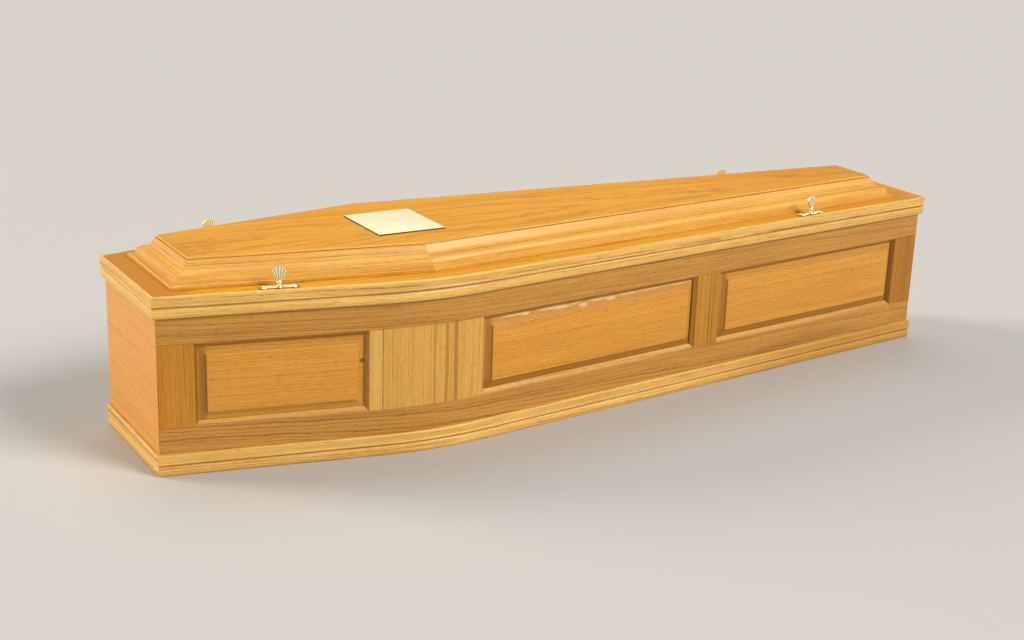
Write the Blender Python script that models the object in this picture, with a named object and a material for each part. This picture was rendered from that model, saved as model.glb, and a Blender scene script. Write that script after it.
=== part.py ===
"""A solid oak coffin with panelled sides, bent shoulders and a raised lid that lifts off.

The head end is at -X, the foot end at +X, and the occupant's right side at -Y.
It stands on the floor at z = 0, with its middle over the origin.

Side pieces, end boards and mouldings are shaped flat, as a joiner lays them out on a bench.
Their points are (along, depth, height): along the outer face, inwards from it, and up.
Each one is then carried to its place, and round the shoulder where it is bent.
"""

import math

import bmesh
import bpy
from mathutils import Vector

# Body outline in plan, measured over the outer faces of the boards
BODY_LENGTH = 1.930
HEAD_WIDTH = 0.300
SHOULDER_WIDTH = 0.520
FOOT_WIDTH = 0.250
SHOULDER_FROM_HEAD = 0.534
SHOULDER_BEND_RADIUS = 0.740
BEND_STEPS = 10

# Body boards
WALL_THICKNESS = 0.020
BASE_THICKNESS = 0.018
BODY_HEIGHT = 0.340
FIT_GAP = 0.0003

# Frame of each side: rails run the whole length, uprights stand between them
TOP_RAIL_WIDTH = 0.078
BOTTOM_RAIL_WIDTH = 0.095
HEAD_STILE_WIDTH = 0.067
SHOULDER_STRIP_WIDTH = 0.027
SHOULDER_BOARD_WIDTH = 0.218
MIDDLE_STILE_WIDTH = 0.067
FOOT_STILE_WIDTH = 0.071
FOOT_OPENING_LENGTH = 0.577
FRAME_CHAMFER_WIDTH = 0.009
FRAME_CHAMFER_DEPTH = 0.008

# Raised and fielded panels, held by a tongue in a groove all round
PANEL_BEVEL_WIDTH = 0.018
PANEL_BEVEL_HEIGHT = 0.0095
PANEL_ARRIS = 0.0025
PANEL_FIELD_SETBACK = 0.0010
TONGUE_THICKNESS = 0.0055
TONGUE_LENGTH = 0.006

# Plinth and lid edge share one planted moulding
MOULDING_HEIGHT = 0.043
MOULDING_THICKNESS = 0.0057
MOULDING_ROUND_OVER = 0.0042
MOULDING_FACE_SETBACK = 0.0010
MOULDING_BEAD = (0.0015, 0.0026)
MOULDING_BEAD_MIDDLE = 0.0245
MOULDING_BEAD_SETBACK = 0.0016
MOULDING_GROOVE_DEPTH = 0.0032
MOULDING_GROOVE_HEIGHT = 0.0195
MOULDING_TORUS = (0.0028, 0.0090)
MOULDING_TORUS_SETBACK = 0.0034

# Lid
LID_THICKNESS = 0.018
LID_CLEARANCE = 0.0027
HEAD_LEDGE = 0.048
SIDE_LEDGE = 0.0365
FOOT_LEDGE = 0.074
SHOULDER_LEDGE = 0.050
RAISED_SHOULDER_SHIFT = 0.012
RAISED_HEIGHT = 0.0485
RAISED_MOULDING_WIDTH = 0.050
RAISED_MOULDING_REBATE = 0.012
RAISED_FILLET = 0.0055
RAISED_LOWER_HOLLOW = (0.0135, 0.0035)
RAISED_ROUND = (0.0110, 0.0145)
RAISED_SLOPE = (0.0090, 0.0028)
OGEE_FOOT_PULL = (0.0070, 0.0020)
OGEE_TOP_PULL = (0.0045, 0.0005)
TOP_PANEL_THICKNESS = 0.010

# Name plate, bare
PLATE_LENGTH = 0.150
PLATE_WIDTH = 0.168
PLATE_THICKNESS = 0.0025
PLATE_CORNER_RADIUS = 0.0015
PLATE_FROM_HEAD = 0.561
PLATE_TOWARDS_RIGHT = 0.010

# Lid screws with shell heads, each standing on a scrolled plate
RIGHT_SCREWS_FROM_HEAD = (0.229, 1.558)
LEFT_SCREWS_FROM_HEAD = (0.233, 1.536)
RIGHT_SCREWS_FROM_EDGE = 0.0125
LEFT_SCREWS_FROM_EDGE = 0.018
SCREW_PLATE_LENGTH = 0.077
SCREW_PLATE_WIDTH = 0.015
SCREW_PLATE_THICKNESS = 0.0045
SCREW_PLATE_SOFTENED = 0.0006
SCREW_PLATE_TOP_SHARE = 0.86
SCROLL_LOBES = ((0.0, 0.20, 0.50), (0.42, 0.16, 0.30), (0.84, 0.15, 0.44))
SCROLL_NARROWEST = 0.14
SCREW_HEIGHT = 0.037
SHELL_WIDTH = 0.031
SHELL_HEIGHT = 0.026
SHELL_THICKNESS = 0.006
SHELL_FLUTES = 5
SHELL_ROUNDING = 0.55
SHELL_NOTCH = 0.10
SHELL_FLUTE_DEPTH = 0.45
SCREW_COLLAR_RADIUS = 0.0055
SCREW_NECK_RADIUS = 0.0026

# Finishes: linear colours, and the roughness of lacquer, of the plate and of brass
OAK_ROUGHNESS = 0.34
PLATE_ROUGHNESS = 0.25
BRASS_ROUGHNESS = 0.21
RAIL_OAK = (0.46, 0.23, 0.060)
STILE_OAK = (0.50, 0.26, 0.064)
PANEL_OAK = (0.62, 0.31, 0.078)
SHOULDER_OAK = (0.58, 0.35, 0.110)
END_OAK = (0.72, 0.38, 0.110)
MOULDING_OAK = (0.58, 0.35, 0.095)
LID_OAK = (0.66, 0.33, 0.060)
RAISED_OAK = (0.76, 0.44, 0.130)
PLATE_CREAM = (0.90, 0.86, 0.66)
SCREW_BRASS = (0.80, 0.62, 0.28)


def body_corners():
    """Plan corners from the head end's right corner, anticlockwise seen from above."""
    head = -BODY_LENGTH / 2
    foot = BODY_LENGTH / 2
    shoulder = head + SHOULDER_FROM_HEAD
    right = [
        Vector((head, -HEAD_WIDTH / 2)),
        Vector((shoulder, -SHOULDER_WIDTH / 2)),
        Vector((foot, -FOOT_WIDTH / 2)),
    ]
    left = [Vector((corner.x, -corner.y)) for corner in reversed(right)]
    return right + left


def edge_directions(corners):
    """The direction of each edge, from its corner to the next one."""
    following = corners[1:] + corners[:1]
    return [(after - corner).normalized() for corner, after in zip(corners, following)]


def inward_normal(direction):
    return Vector((-direction.y, direction.x))


def mitre_slopes(corners):
    """How far a mitre runs along an edge for each unit of depth, at every corner."""
    directions = edge_directions(corners)
    slopes = []
    for number, leaving in enumerate(directions):
        arriving = directions[number - 1]
        turn = math.atan2(arriving.cross(leaving), arriving.dot(leaving))
        slopes.append(math.tan(turn / 2))
    return slopes


def inset_outline(corners, insets):
    """The outline with each edge moved inwards by its own inset."""
    directions = edge_directions(corners)
    moved = []
    for number, corner in enumerate(corners):
        before, after = directions[number - 1], directions[number]
        from_before = inward_normal(before) * insets[number - 1]
        from_after = inward_normal(after) * insets[number]
        reach = (from_after - from_before).cross(after) / before.cross(after)
        moved.append(corner + from_before + before * reach)
    return moved


CORNERS = body_corners()
HEAD_MITRE, _, FOOT_MITRE = mitre_slopes(CORNERS)[:3]
FIRST_DIRECTION, SECOND_DIRECTION = edge_directions(CORNERS)[:2]
SHOULDER_TURN = math.atan2(
    FIRST_DIRECTION.cross(SECOND_DIRECTION), FIRST_DIRECTION.dot(SECOND_DIRECTION)
)
BEND_TANGENT = SHOULDER_BEND_RADIUS * math.tan(SHOULDER_TURN / 2)
BEND_START = (CORNERS[1] - CORNERS[0]).length - BEND_TANGENT
BEND_END = BEND_START + SHOULDER_BEND_RADIUS * SHOULDER_TURN
SIDE_LENGTH = BEND_END + (CORNERS[2] - CORNERS[1]).length - BEND_TANGENT
BEND_STATIONS = [
    BEND_START + (BEND_END - BEND_START) * step / BEND_STEPS for step in range(BEND_STEPS + 1)
]


def side_point(along, depth):
    """The plan point of the right side at a distance along its outer face and a depth behind it."""
    if along <= BEND_START:
        start, direction = CORNERS[0], FIRST_DIRECTION
        return start + direction * along + inward_normal(direction) * depth
    if along >= BEND_END:
        direction = SECOND_DIRECTION
        return CORNERS[2] - direction * (SIDE_LENGTH - along) + inward_normal(direction) * depth
    bend_begins = CORNERS[0] + FIRST_DIRECTION * BEND_START
    centre = bend_begins + inward_normal(FIRST_DIRECTION) * SHOULDER_BEND_RADIUS
    turned = (along - BEND_START) / SHOULDER_BEND_RADIUS
    heading = math.atan2(FIRST_DIRECTION.y, FIRST_DIRECTION.x) + turned
    outward = Vector((math.sin(heading), -math.cos(heading)))
    return centre + outward * (SHOULDER_BEND_RADIUS - depth)


def on_right_side(point):
    plan = side_point(point.x, point.y)
    return Vector((plan.x, plan.y, point.z))


def on_left_side(point):
    plan = side_point(point.x, point.y)
    return Vector((plan.x, -plan.y, point.z))


def on_edge(start, end):
    """Carries flat points to a straight edge between two plan corners."""
    direction = (end - start).normalized()

    def place(point):
        plan = start + direction * point.x + inward_normal(direction) * point.y
        return Vector((plan.x, plan.y, point.z))

    return place


def in_place(point):
    return Vector(point)


def give_finish(item, colour, roughness, metallic=0.0):
    """A material of the piece's own, with the clear lacquer's roughness."""
    material = bpy.data.materials.new(item.name)
    material.use_nodes = True
    shader = material.node_tree.nodes["Principled BSDF"]
    shader.inputs["Base Color"].default_value = (*colour, 1.0)
    shader.inputs["Roughness"].default_value = roughness
    shader.inputs["Metallic"].default_value = metallic
    item.data.materials.append(material)


def loft(name, rings, place=in_place, stations=()):
    """Joins rings of as many points each into one closed solid, and carries it to its place.

    Points that coincide are merged, so a step or a chamfer may start and end where it likes.
    The solid is cut across at the stations, so that it can follow a bend.
    """
    mesh_edit = bmesh.new()
    loops = [[mesh_edit.verts.new(point) for point in ring] for ring in rings]
    for lower, upper in zip(loops, loops[1:]):
        for number in range(len(lower)):
            after = (number + 1) % len(lower)
            mesh_edit.faces.new((lower[number], lower[after], upper[after], upper[number]))
    mesh_edit.faces.new(tuple(reversed(loops[0])))
    mesh_edit.faces.new(loops[-1])
    bmesh.ops.remove_doubles(mesh_edit, verts=mesh_edit.verts, dist=1e-6)
    for station in stations:
        everything = list(mesh_edit.verts) + list(mesh_edit.edges) + list(mesh_edit.faces)
        bmesh.ops.bisect_plane(
            mesh_edit, geom=everything, dist=1e-6, plane_co=(station, 0, 0), plane_no=(1, 0, 0)
        )
    for vertex in mesh_edit.verts:
        vertex.co = place(vertex.co)
    bmesh.ops.recalc_face_normals(mesh_edit, faces=mesh_edit.faces)
    if mesh_edit.calc_volume(signed=True) < 0:
        bmesh.ops.reverse_faces(mesh_edit, faces=mesh_edit.faces)
    mesh = bpy.data.meshes.new(name)
    mesh_edit.to_mesh(mesh)
    mesh_edit.free()
    item = bpy.data.objects.new(name, mesh)
    bpy.context.scene.collection.objects.link(item)
    return item


def arc_points(centre, radii, start, end, steps):
    """Points on an arc of an ellipse, angles in degrees, both ends included."""
    points = []
    for step in range(steps + 1):
        angle = math.radians(start + (end - start) * step / steps)
        points.append((centre[0] + radii[0] * math.cos(angle), centre[1] + radii[1] * math.sin(angle)))
    return points


def stations_between(start, end):
    return [station for station in BEND_STATIONS if start < station < end]


# Frame and panel sides

OPENING_BOTTOM = BOTTOM_RAIL_WIDTH
OPENING_TOP = BODY_HEIGHT - TOP_RAIL_WIDTH
SHOULDER_MIDDLE = (BEND_START + BEND_END) / 2
SHOULDER_BOARD_START = SHOULDER_MIDDLE - SHOULDER_BOARD_WIDTH / 2
SHOULDER_BOARD_END = SHOULDER_MIDDLE + SHOULDER_BOARD_WIDTH / 2
FOOT_STILE_START = SIDE_LENGTH - FOOT_STILE_WIDTH
MIDDLE_STILE_END = FOOT_STILE_START - FOOT_OPENING_LENGTH
MIDDLE_STILE_START = MIDDLE_STILE_END - MIDDLE_STILE_WIDTH

OPENINGS = {
    "head": (HEAD_STILE_WIDTH, SHOULDER_BOARD_START - SHOULDER_STRIP_WIDTH),
    "middle": (SHOULDER_BOARD_END, MIDDLE_STILE_START),
    "foot": (MIDDLE_STILE_END, FOOT_STILE_START),
}

PANEL_EDGE_DEPTH = PANEL_FIELD_SETBACK + PANEL_BEVEL_HEIGHT
GROOVE_FRONT = PANEL_EDGE_DEPTH - FIT_GAP
GROOVE_BACK = PANEL_EDGE_DEPTH + TONGUE_THICKNESS + FIT_GAP
GROOVE_FLOOR = FRAME_CHAMFER_WIDTH - TONGUE_LENGTH - FIT_GAP
MITRE_GAP = FIT_GAP * math.sqrt(2)


def frame_layers():
    """Depth and reach into the opening of a frame member's edge: chamfer, lip, groove, back lip."""
    reach = FRAME_CHAMFER_WIDTH
    return [
        (0.0, 0.0),
        (FRAME_CHAMFER_DEPTH, reach),
        (GROOVE_FRONT, reach),
        (GROOVE_FRONT, GROOVE_FLOOR),
        (GROOVE_BACK, GROOVE_FLOOR),
        (GROOVE_BACK, reach),
        (WALL_THICKNESS, reach),
    ]


def mitred_start(depth):
    return HEAD_MITRE * depth + FIT_GAP / 2 * math.hypot(1, HEAD_MITRE)


def mitred_end(depth):
    return SIDE_LENGTH - FOOT_MITRE * depth - FIT_GAP / 2 * math.hypot(1, FOOT_MITRE)


def rail(name, outer_edge, inner_edge, place):
    """A rail of the whole length: its inner edge is chamfered along each opening."""
    towards_opening = 1 if inner_edge > outer_edge else -1
    rings = []
    for depth, reach in frame_layers():
        start, end = mitred_start(depth), mitred_end(depth)
        outline = [(start, outer_edge), (start, inner_edge)]
        for left, right in OPENINGS.values():
            raised = inner_edge + towards_opening * reach
            outline += [(left, inner_edge), (left + reach, raised)]
            outline += [(right - reach, raised), (right, inner_edge)]
        outline += [(end, inner_edge), (end, outer_edge)]
        rings.append([(along, depth, height) for along, height in outline])
    return loft(name, rings, place, BEND_STATIONS)


def upright_edge(face_edge, outwards, reach, depth):
    """One long edge of an upright: four points from bottom to top, mitred to the rails."""
    slip = reach + MITRE_GAP if reach else FIT_GAP
    inner = face_edge + outwards * reach
    return [
        (face_edge, depth, OPENING_BOTTOM + FIT_GAP),
        (inner, depth, OPENING_BOTTOM + slip),
        (inner, depth, OPENING_TOP - slip),
        (face_edge, depth, OPENING_TOP - FIT_GAP),
    ]


def plain_edge(along, depth):
    return [(along, depth, OPENING_BOTTOM + FIT_GAP), (along, depth, OPENING_TOP - FIT_GAP)]


def upright(name, start, end, place, opens_before, opens_after):
    """A stile or a board between the rails, chamfered where it borders an opening.

    The start and the end are functions of depth, or plain distances along the side.
    """
    rings = []
    for depth, reach in frame_layers():
        first = start(depth) if callable(start) else start
        last = end(depth) if callable(end) else end
        before = upright_edge(first, -1, reach, depth) if opens_before else plain_edge(first, depth)
        after = upright_edge(last, 1, reach, depth) if opens_after else plain_edge(last, depth)
        rings.append(before + after[::-1])
    lowest = min(point[0] for ring in rings for point in ring)
    highest = max(point[0] for ring in rings for point in ring)
    return loft(name, rings, place, stations_between(lowest, highest))


def raised_panel(name, opening, place):
    """A panel whose flat field stands up from a bevel on four sides, with its tongue behind."""
    left, right = opening
    tongue_inset = FRAME_CHAMFER_WIDTH - TONGUE_LENGTH
    field_inset = FRAME_CHAMFER_WIDTH + PANEL_BEVEL_WIDTH
    layers = [
        (PANEL_EDGE_DEPTH + TONGUE_THICKNESS, tongue_inset),
        (PANEL_EDGE_DEPTH, tongue_inset),
        (PANEL_EDGE_DEPTH, FRAME_CHAMFER_WIDTH),
    ]
    rise = PANEL_BEVEL_HEIGHT - PANEL_ARRIS
    for sideways, forwards in arc_points((0, 0), (PANEL_ARRIS, PANEL_ARRIS), 180, 90, 2):
        layers.append((PANEL_EDGE_DEPTH - rise - forwards, field_inset + sideways))
    rings = []
    for depth, inset in layers:
        low, high = OPENING_BOTTOM + inset, OPENING_TOP - inset
        first, last = left + inset, right - inset
        rings.append([(first, depth, low), (last, depth, low), (last, depth, high), (first, depth, high)])
    return loft(name, rings, place, stations_between(left, right))


def make_side(side, place):
    """The frame and the three panels of one side."""
    rails = [
        rail(f"{side}_bottom_rail", 0.0, OPENING_BOTTOM, place),
        rail(f"{side}_top_rail", BODY_HEIGHT, OPENING_TOP, place),
    ]
    strip_start = OPENINGS["head"][1]
    strip_end = SHOULDER_BOARD_START - FIT_GAP
    stiles = [
        upright(f"{side}_head_stile", mitred_start, HEAD_STILE_WIDTH, place, False, True),
        upright(f"{side}_middle_stile", MIDDLE_STILE_START, MIDDLE_STILE_END, place, True, True),
        upright(f"{side}_foot_stile", FOOT_STILE_START, mitred_end, place, True, False),
    ]
    shoulder = [
        upright(f"{side}_shoulder_strip", strip_start, strip_end, place, True, False),
        upright(f"{side}_shoulder_board", SHOULDER_BOARD_START, SHOULDER_BOARD_END, place, False, True),
    ]
    for item in rails:
        give_finish(item, RAIL_OAK, OAK_ROUGHNESS)
    for item in stiles:
        give_finish(item, STILE_OAK, OAK_ROUGHNESS)
    for item in shoulder:
        give_finish(item, SHOULDER_OAK, OAK_ROUGHNESS)
    for part, opening in OPENINGS.items():
        panel = raised_panel(f"{side}_{part}_panel", opening, place)
        give_finish(panel, PANEL_OAK, OAK_ROUGHNESS)


# Ends, base and the planted moulding

def end_board(name, start, end, slope):
    """A plain board across an end, mitred to the sides."""
    length = (end - start).length
    gap = FIT_GAP / 2 * math.hypot(1, slope)
    rings = []
    for depth in (0.0, WALL_THICKNESS):
        first = slope * depth + gap
        last = length - slope * depth - gap
        foot = [(first, depth, 0.0), (last, depth, 0.0)]
        rings.append(foot + [(along, depth, BODY_HEIGHT) for along, _, _ in reversed(foot)])
    board = loft(name, rings, on_edge(start, end))
    give_finish(board, END_OAK, OAK_ROUGHNESS)


def plan_outline(depth):
    """The body's outline moved inwards by a depth, with its bent shoulders."""
    stops = [HEAD_MITRE * depth] + BEND_STATIONS + [SIDE_LENGTH - FOOT_MITRE * depth]
    right = [side_point(stop, depth) for stop in stops]
    left = [Vector((point.x, -point.y)) for point in reversed(right)]
    return right + left


def flat_board(name, outline, low, high, colour):
    """A board cut to an outline in plan."""
    rings = [[(point.x, point.y, height) for point in outline] for height in (low, high)]
    board = loft(name, rings)
    give_finish(board, colour, OAK_ROUGHNESS)


def planted_profile():
    """The moulding's section as (out, up): broad round, groove, bead, plain face, round top."""
    out = MOULDING_THICKNESS
    torus_out = out - MOULDING_TORUS_SETBACK
    bead_out = out - MOULDING_BEAD_SETBACK
    groove = (out - MOULDING_GROOVE_DEPTH, MOULDING_GROOVE_HEIGHT)
    bead_low = (bead_out, MOULDING_BEAD_MIDDLE - MOULDING_BEAD[1])
    face_low = (out - MOULDING_FACE_SETBACK, MOULDING_BEAD_MIDDLE + MOULDING_BEAD[1] * 1.25)
    round_middle = (out - MOULDING_ROUND_OVER, MOULDING_HEIGHT - MOULDING_ROUND_OVER)
    section = [(0.0, 0.0), (torus_out, 0.0)]
    section += arc_points((torus_out, MOULDING_TORUS[1]), MOULDING_TORUS, -62, 72, 5)
    section += [groove, bead_low]
    section += arc_points((bead_out, MOULDING_BEAD_MIDDLE), MOULDING_BEAD, -55, 60, 3)
    section += [face_low]
    section += arc_points(round_middle, (MOULDING_ROUND_OVER, MOULDING_ROUND_OVER), 0, 90, 4)
    section += [(0.0, MOULDING_HEIGHT)]
    return section


def moulding_run(name, length, slopes, section, place, stations=(), gap=FIT_GAP):
    """A moulding with mitred ends: its section is given as (depth, height)."""
    start_slope, end_slope = slopes
    start_gap = gap / 2 * math.hypot(1, start_slope)
    end_gap = gap / 2 * math.hypot(1, end_slope)
    first = [(start_slope * depth + start_gap, depth, height) for depth, height in section]
    last = [(length - end_slope * depth - end_gap, depth, height) for depth, height in section]
    return loft(name, [first, last], place, stations)


def planted_mouldings(name, back_depth, base_height):
    """The planted moulding round all four sides, its back at a depth outside the body."""
    section = [(back_depth - out, base_height + up) for out, up in planted_profile()]
    side_slopes = (HEAD_MITRE, FOOT_MITRE)
    head_start, head_end = CORNERS[5], CORNERS[0]
    foot_start, foot_end = CORNERS[2], CORNERS[3]
    runs = [
        moulding_run(f"{name}_right", SIDE_LENGTH, side_slopes, section, on_right_side, BEND_STATIONS),
        moulding_run(f"{name}_left", SIDE_LENGTH, side_slopes, section, on_left_side, BEND_STATIONS),
        moulding_run(
            f"{name}_head", HEAD_WIDTH, (HEAD_MITRE, HEAD_MITRE), section, on_edge(head_start, head_end)
        ),
        moulding_run(
            f"{name}_foot", FOOT_WIDTH, (FOOT_MITRE, FOOT_MITRE), section, on_edge(foot_start, foot_end)
        ),
    ]
    for item in runs:
        give_finish(item, MOULDING_OAK, OAK_ROUGHNESS)


# Lid

LID_TOP = BODY_HEIGHT + FIT_GAP + LID_THICKNESS
LID_MOULDING_BACK = -LID_CLEARANCE - FIT_GAP
LID_EDGE_OUT = MOULDING_THICKNESS - LID_MOULDING_BACK
RAISED_BASE = LID_TOP + FIT_GAP
RAISED_TOP = RAISED_BASE + RAISED_HEIGHT


def raised_corners():
    """The raised part's outline where its mouldings meet the lid, with crisp shoulders."""
    side = SIDE_LEDGE - LID_EDGE_OUT
    head = HEAD_LEDGE - LID_EDGE_OUT
    foot = FOOT_LEDGE - LID_EDGE_OUT
    corners = inset_outline(CORNERS, [side, side, foot, side, side, head])
    shoulder = inset_outline(CORNERS, [SHOULDER_LEDGE - LID_EDGE_OUT] * 6)[1]
    corners[1] = Vector((shoulder.x + RAISED_SHOULDER_SHIFT, shoulder.y))
    corners[4] = Vector((corners[1].x, -corners[1].y))
    return corners


def curve_points(start, start_pull, end_pull, end, steps):
    """Points on a cubic curve that leaves its start and reaches its end by two pulls."""
    points = []
    for step in range(steps + 1):
        share = step / steps
        rest = 1 - share
        weights = (rest**3, 3 * rest * rest * share, 3 * rest * share * share, share**3)
        corners = (start, start_pull, end_pull, end)
        points.append(tuple(sum(w * c[axis] for w, c in zip(weights, corners)) for axis in (0, 1)))
    return points


def raised_section():
    """Section of the raised moulding as (depth, height).

    From the ledge up: a fillet, a small hollow, a round, a shallow slope and an ogee to the
    top panel, which lies in a rebate behind it.
    """
    width, top = RAISED_MOULDING_WIDTH, RAISED_HEIGHT
    hollow_end = (RAISED_LOWER_HOLLOW[0], RAISED_FILLET + RAISED_LOWER_HOLLOW[1])
    round_middle = (hollow_end[0] + RAISED_ROUND[0], hollow_end[1])
    round_top = hollow_end[1] + RAISED_ROUND[1]
    slope_end = (round_middle[0] + RAISED_SLOPE[0], round_top + RAISED_SLOPE[1])
    foot_pull = (slope_end[0] + OGEE_FOOT_PULL[0], slope_end[1] + OGEE_FOOT_PULL[1])
    top_pull = (width - OGEE_TOP_PULL[0], top - OGEE_TOP_PULL[1])
    section = [(0.0, 0.0), (0.0, RAISED_FILLET)]
    section += arc_points((0.0, hollow_end[1]), RAISED_LOWER_HOLLOW, -70, 0, 3)
    section += arc_points(round_middle, RAISED_ROUND, 180, 90, 4)[1:]
    section += curve_points(slope_end, foot_pull, top_pull, (width, top), 6)
    rebate_floor = top - TOP_PANEL_THICKNESS - FIT_GAP
    rebate_end = width + RAISED_MOULDING_REBATE
    return section + [(width, rebate_floor), (rebate_end, rebate_floor), (rebate_end, 0.0)]


def raised_mouldings(corners):
    """Six lengths of moulding mitred round the raised part."""
    names = ["head_right", "foot_right", "foot", "foot_left", "head_left", "head"]
    slopes = mitre_slopes(corners)
    section = [(depth, RAISED_BASE + height) for depth, height in raised_section()]
    for number, name in enumerate(names):
        after = (number + 1) % len(corners)
        start, end = corners[number], corners[after]
        item = moulding_run(
            f"raised_moulding_{name}", (end - start).length, (slopes[number], slopes[after]),
            section, on_edge(start, end),
        )
        give_finish(item, RAISED_OAK, OAK_ROUGHNESS)


def top_panel(corners):
    inset = RAISED_MOULDING_WIDTH + FIT_GAP
    outline = inset_outline(corners, [inset] * len(corners))
    flat_board("top_panel", outline, RAISED_TOP - TOP_PANEL_THICKNESS, RAISED_TOP, LID_OAK)


def name_plate():
    """A thin bare plate with barely rounded corners, laid a little nearer the right side."""
    middle = (PLATE_FROM_HEAD - BODY_LENGTH / 2, -PLATE_TOWARDS_RIGHT)
    half = (PLATE_LENGTH / 2 - PLATE_CORNER_RADIUS, PLATE_WIDTH / 2 - PLATE_CORNER_RADIUS)
    radius = PLATE_CORNER_RADIUS
    outline = []
    for quarter, (right, up) in enumerate([(1, 1), (-1, 1), (-1, -1), (1, -1)]):
        centre = (middle[0] + right * half[0], middle[1] + up * half[1])
        outline += arc_points(centre, (radius, radius), 90 * quarter, 90 * quarter + 90, 2)
    low = RAISED_TOP + FIT_GAP
    rings = [[(x, y, height) for x, y in outline] for height in (low, low + PLATE_THICKNESS)]
    plate = loft("name_plate", rings)
    give_finish(plate, PLATE_CREAM, PLATE_ROUGHNESS)


# Lid screws and their plates

def scroll_half_width(share):
    """Half the plate's width at a share of its half length: boss, waist, leaf and curled tip."""
    widths = [SCROLL_NARROWEST]
    for middle, reach, size in SCROLL_LOBES:
        widths.append(size * math.cos(math.pi / 2 * min(abs(share - middle) / reach, 1.0)))
    return SCREW_PLATE_WIDTH * max(widths)


def screw_plate(name, place, base):
    """A flat bar with a round boss in the middle and leafy, curled ends."""
    steps = 14
    shares = [step / steps for step in range(-steps, steps + 1)]
    outline = [(share * SCREW_PLATE_LENGTH / 2, scroll_half_width(abs(share))) for share in shares]
    outline += [(along, -half) for along, half in reversed(outline)]
    shoulder = base + SCREW_PLATE_THICKNESS - SCREW_PLATE_SOFTENED
    levels = [(base, 1.0), (shoulder, 1.0), (base + SCREW_PLATE_THICKNESS, SCREW_PLATE_TOP_SHARE)]
    rings = [
        [(along, across * narrowed, height) for along, across in outline] for height, narrowed in levels
    ]
    plate = loft(name, rings, place)
    give_finish(plate, SCREW_BRASS, BRASS_ROUGHNESS, 1.0)


def lid_screw(name, place, base):
    """A turned stem with a collar and a ball, under a flat shell head with flutes."""
    around = 20
    unit_circle = arc_points((0, 0), (1, 1), 0, 360 - 360 / around, around - 1)
    stem = SCREW_HEIGHT - SHELL_HEIGHT
    collar, neck = SCREW_COLLAR_RADIUS, SCREW_NECK_RADIUS
    turned = [
        (0.00, collar), (0.12, collar), (0.24, neck), (0.40, neck),
        (0.54, collar * 0.72), (0.70, collar * 0.80), (0.86, collar * 0.66), (1.00, neck),
    ]
    rings = []
    for share, radius in turned:
        rings.append([(x * radius, y * radius, base + stem * share) for x, y in unit_circle])
    levels = 7
    for level in range(1, levels + 1):
        share = level / levels
        spread = math.sin(math.pi / 2 * share) ** 0.85
        half_width = neck + (SHELL_WIDTH / 2 - neck) * spread
        half_depth = neck + (SHELL_THICKNESS / 2 - neck) * share
        ring = []
        for x, y in unit_circle:
            hollow = (1 - abs(math.cos(math.pi * SHELL_FLUTES / 2 * x))) * share
            crown = math.sqrt(1 - SHELL_ROUNDING * x * x) - SHELL_NOTCH * hollow
            height = base + stem + SHELL_HEIGHT * share * (crown * share + (1 - share))
            ring.append((x * half_width, y * half_depth * (1 - SHELL_FLUTE_DEPTH * hollow), height))
        rings.append(ring)
    screw = loft(name, rings, place)
    screw.data.shade_smooth()
    give_finish(screw, SCREW_BRASS, BRASS_ROUGHNESS, 1.0)


def lid_screws():
    """Two screws and plates on each side ledge, near the lid's edge and in line with it."""
    directions = edge_directions(CORNERS)
    plate_base = LID_TOP + FIT_GAP
    sides = (
        ("right", 1, RIGHT_SCREWS_FROM_HEAD, RIGHT_SCREWS_FROM_EDGE),
        ("left", -1, LEFT_SCREWS_FROM_HEAD, LEFT_SCREWS_FROM_EDGE),
    )
    for side, sign, places, from_edge in sides:
        depth = from_edge - LID_EDGE_OUT
        for place_name, from_head, edge in zip(("head", "foot"), places, (0, 1)):
            direction = directions[edge]
            inward = inward_normal(direction)
            foot = CORNERS[edge] + inward * depth
            middle = foot + direction * ((from_head - BODY_LENGTH / 2 - foot.x) / direction.x)

            def place(point, middle=middle, direction=direction, inward=inward, sign=sign):
                plan = middle + direction * point.x + inward * point.y
                return Vector((plan.x, sign * plan.y, point.z))

            screw_plate(f"screw_plate_{place_name}_{side}", place, plate_base)
            lid_screw(f"lid_screw_{place_name}_{side}", place, plate_base + SCREW_PLATE_THICKNESS + FIT_GAP)


def make_body():
    flat_board("base_board", plan_outline(WALL_THICKNESS + FIT_GAP), 0.0, BASE_THICKNESS, END_OAK)
    make_side("right", on_right_side)
    make_side("left", on_left_side)
    end_board("head_end_board", CORNERS[5], CORNERS[0], HEAD_MITRE)
    end_board("foot_end_board", CORNERS[2], CORNERS[3], FOOT_MITRE)
    planted_mouldings("plinth_moulding", -FIT_GAP, 0.0)


def make_lid():
    flat_board("lid_board", plan_outline(-LID_CLEARANCE), BODY_HEIGHT + FIT_GAP, LID_TOP, LID_OAK)
    planted_mouldings("lid_edge_moulding", LID_MOULDING_BACK, LID_TOP - MOULDING_HEIGHT)
    corners = raised_corners()
    raised_mouldings(corners)
    top_panel(corners)
    name_plate()
    lid_screws()


def main():
    for item in list(bpy.data.objects):
        bpy.data.objects.remove(item, do_unlink=True)
    make_body()
    make_lid()


main()
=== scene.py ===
import math

import bmesh
import bpy
import numpy as np
from mathutils import Matrix, Vector


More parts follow.
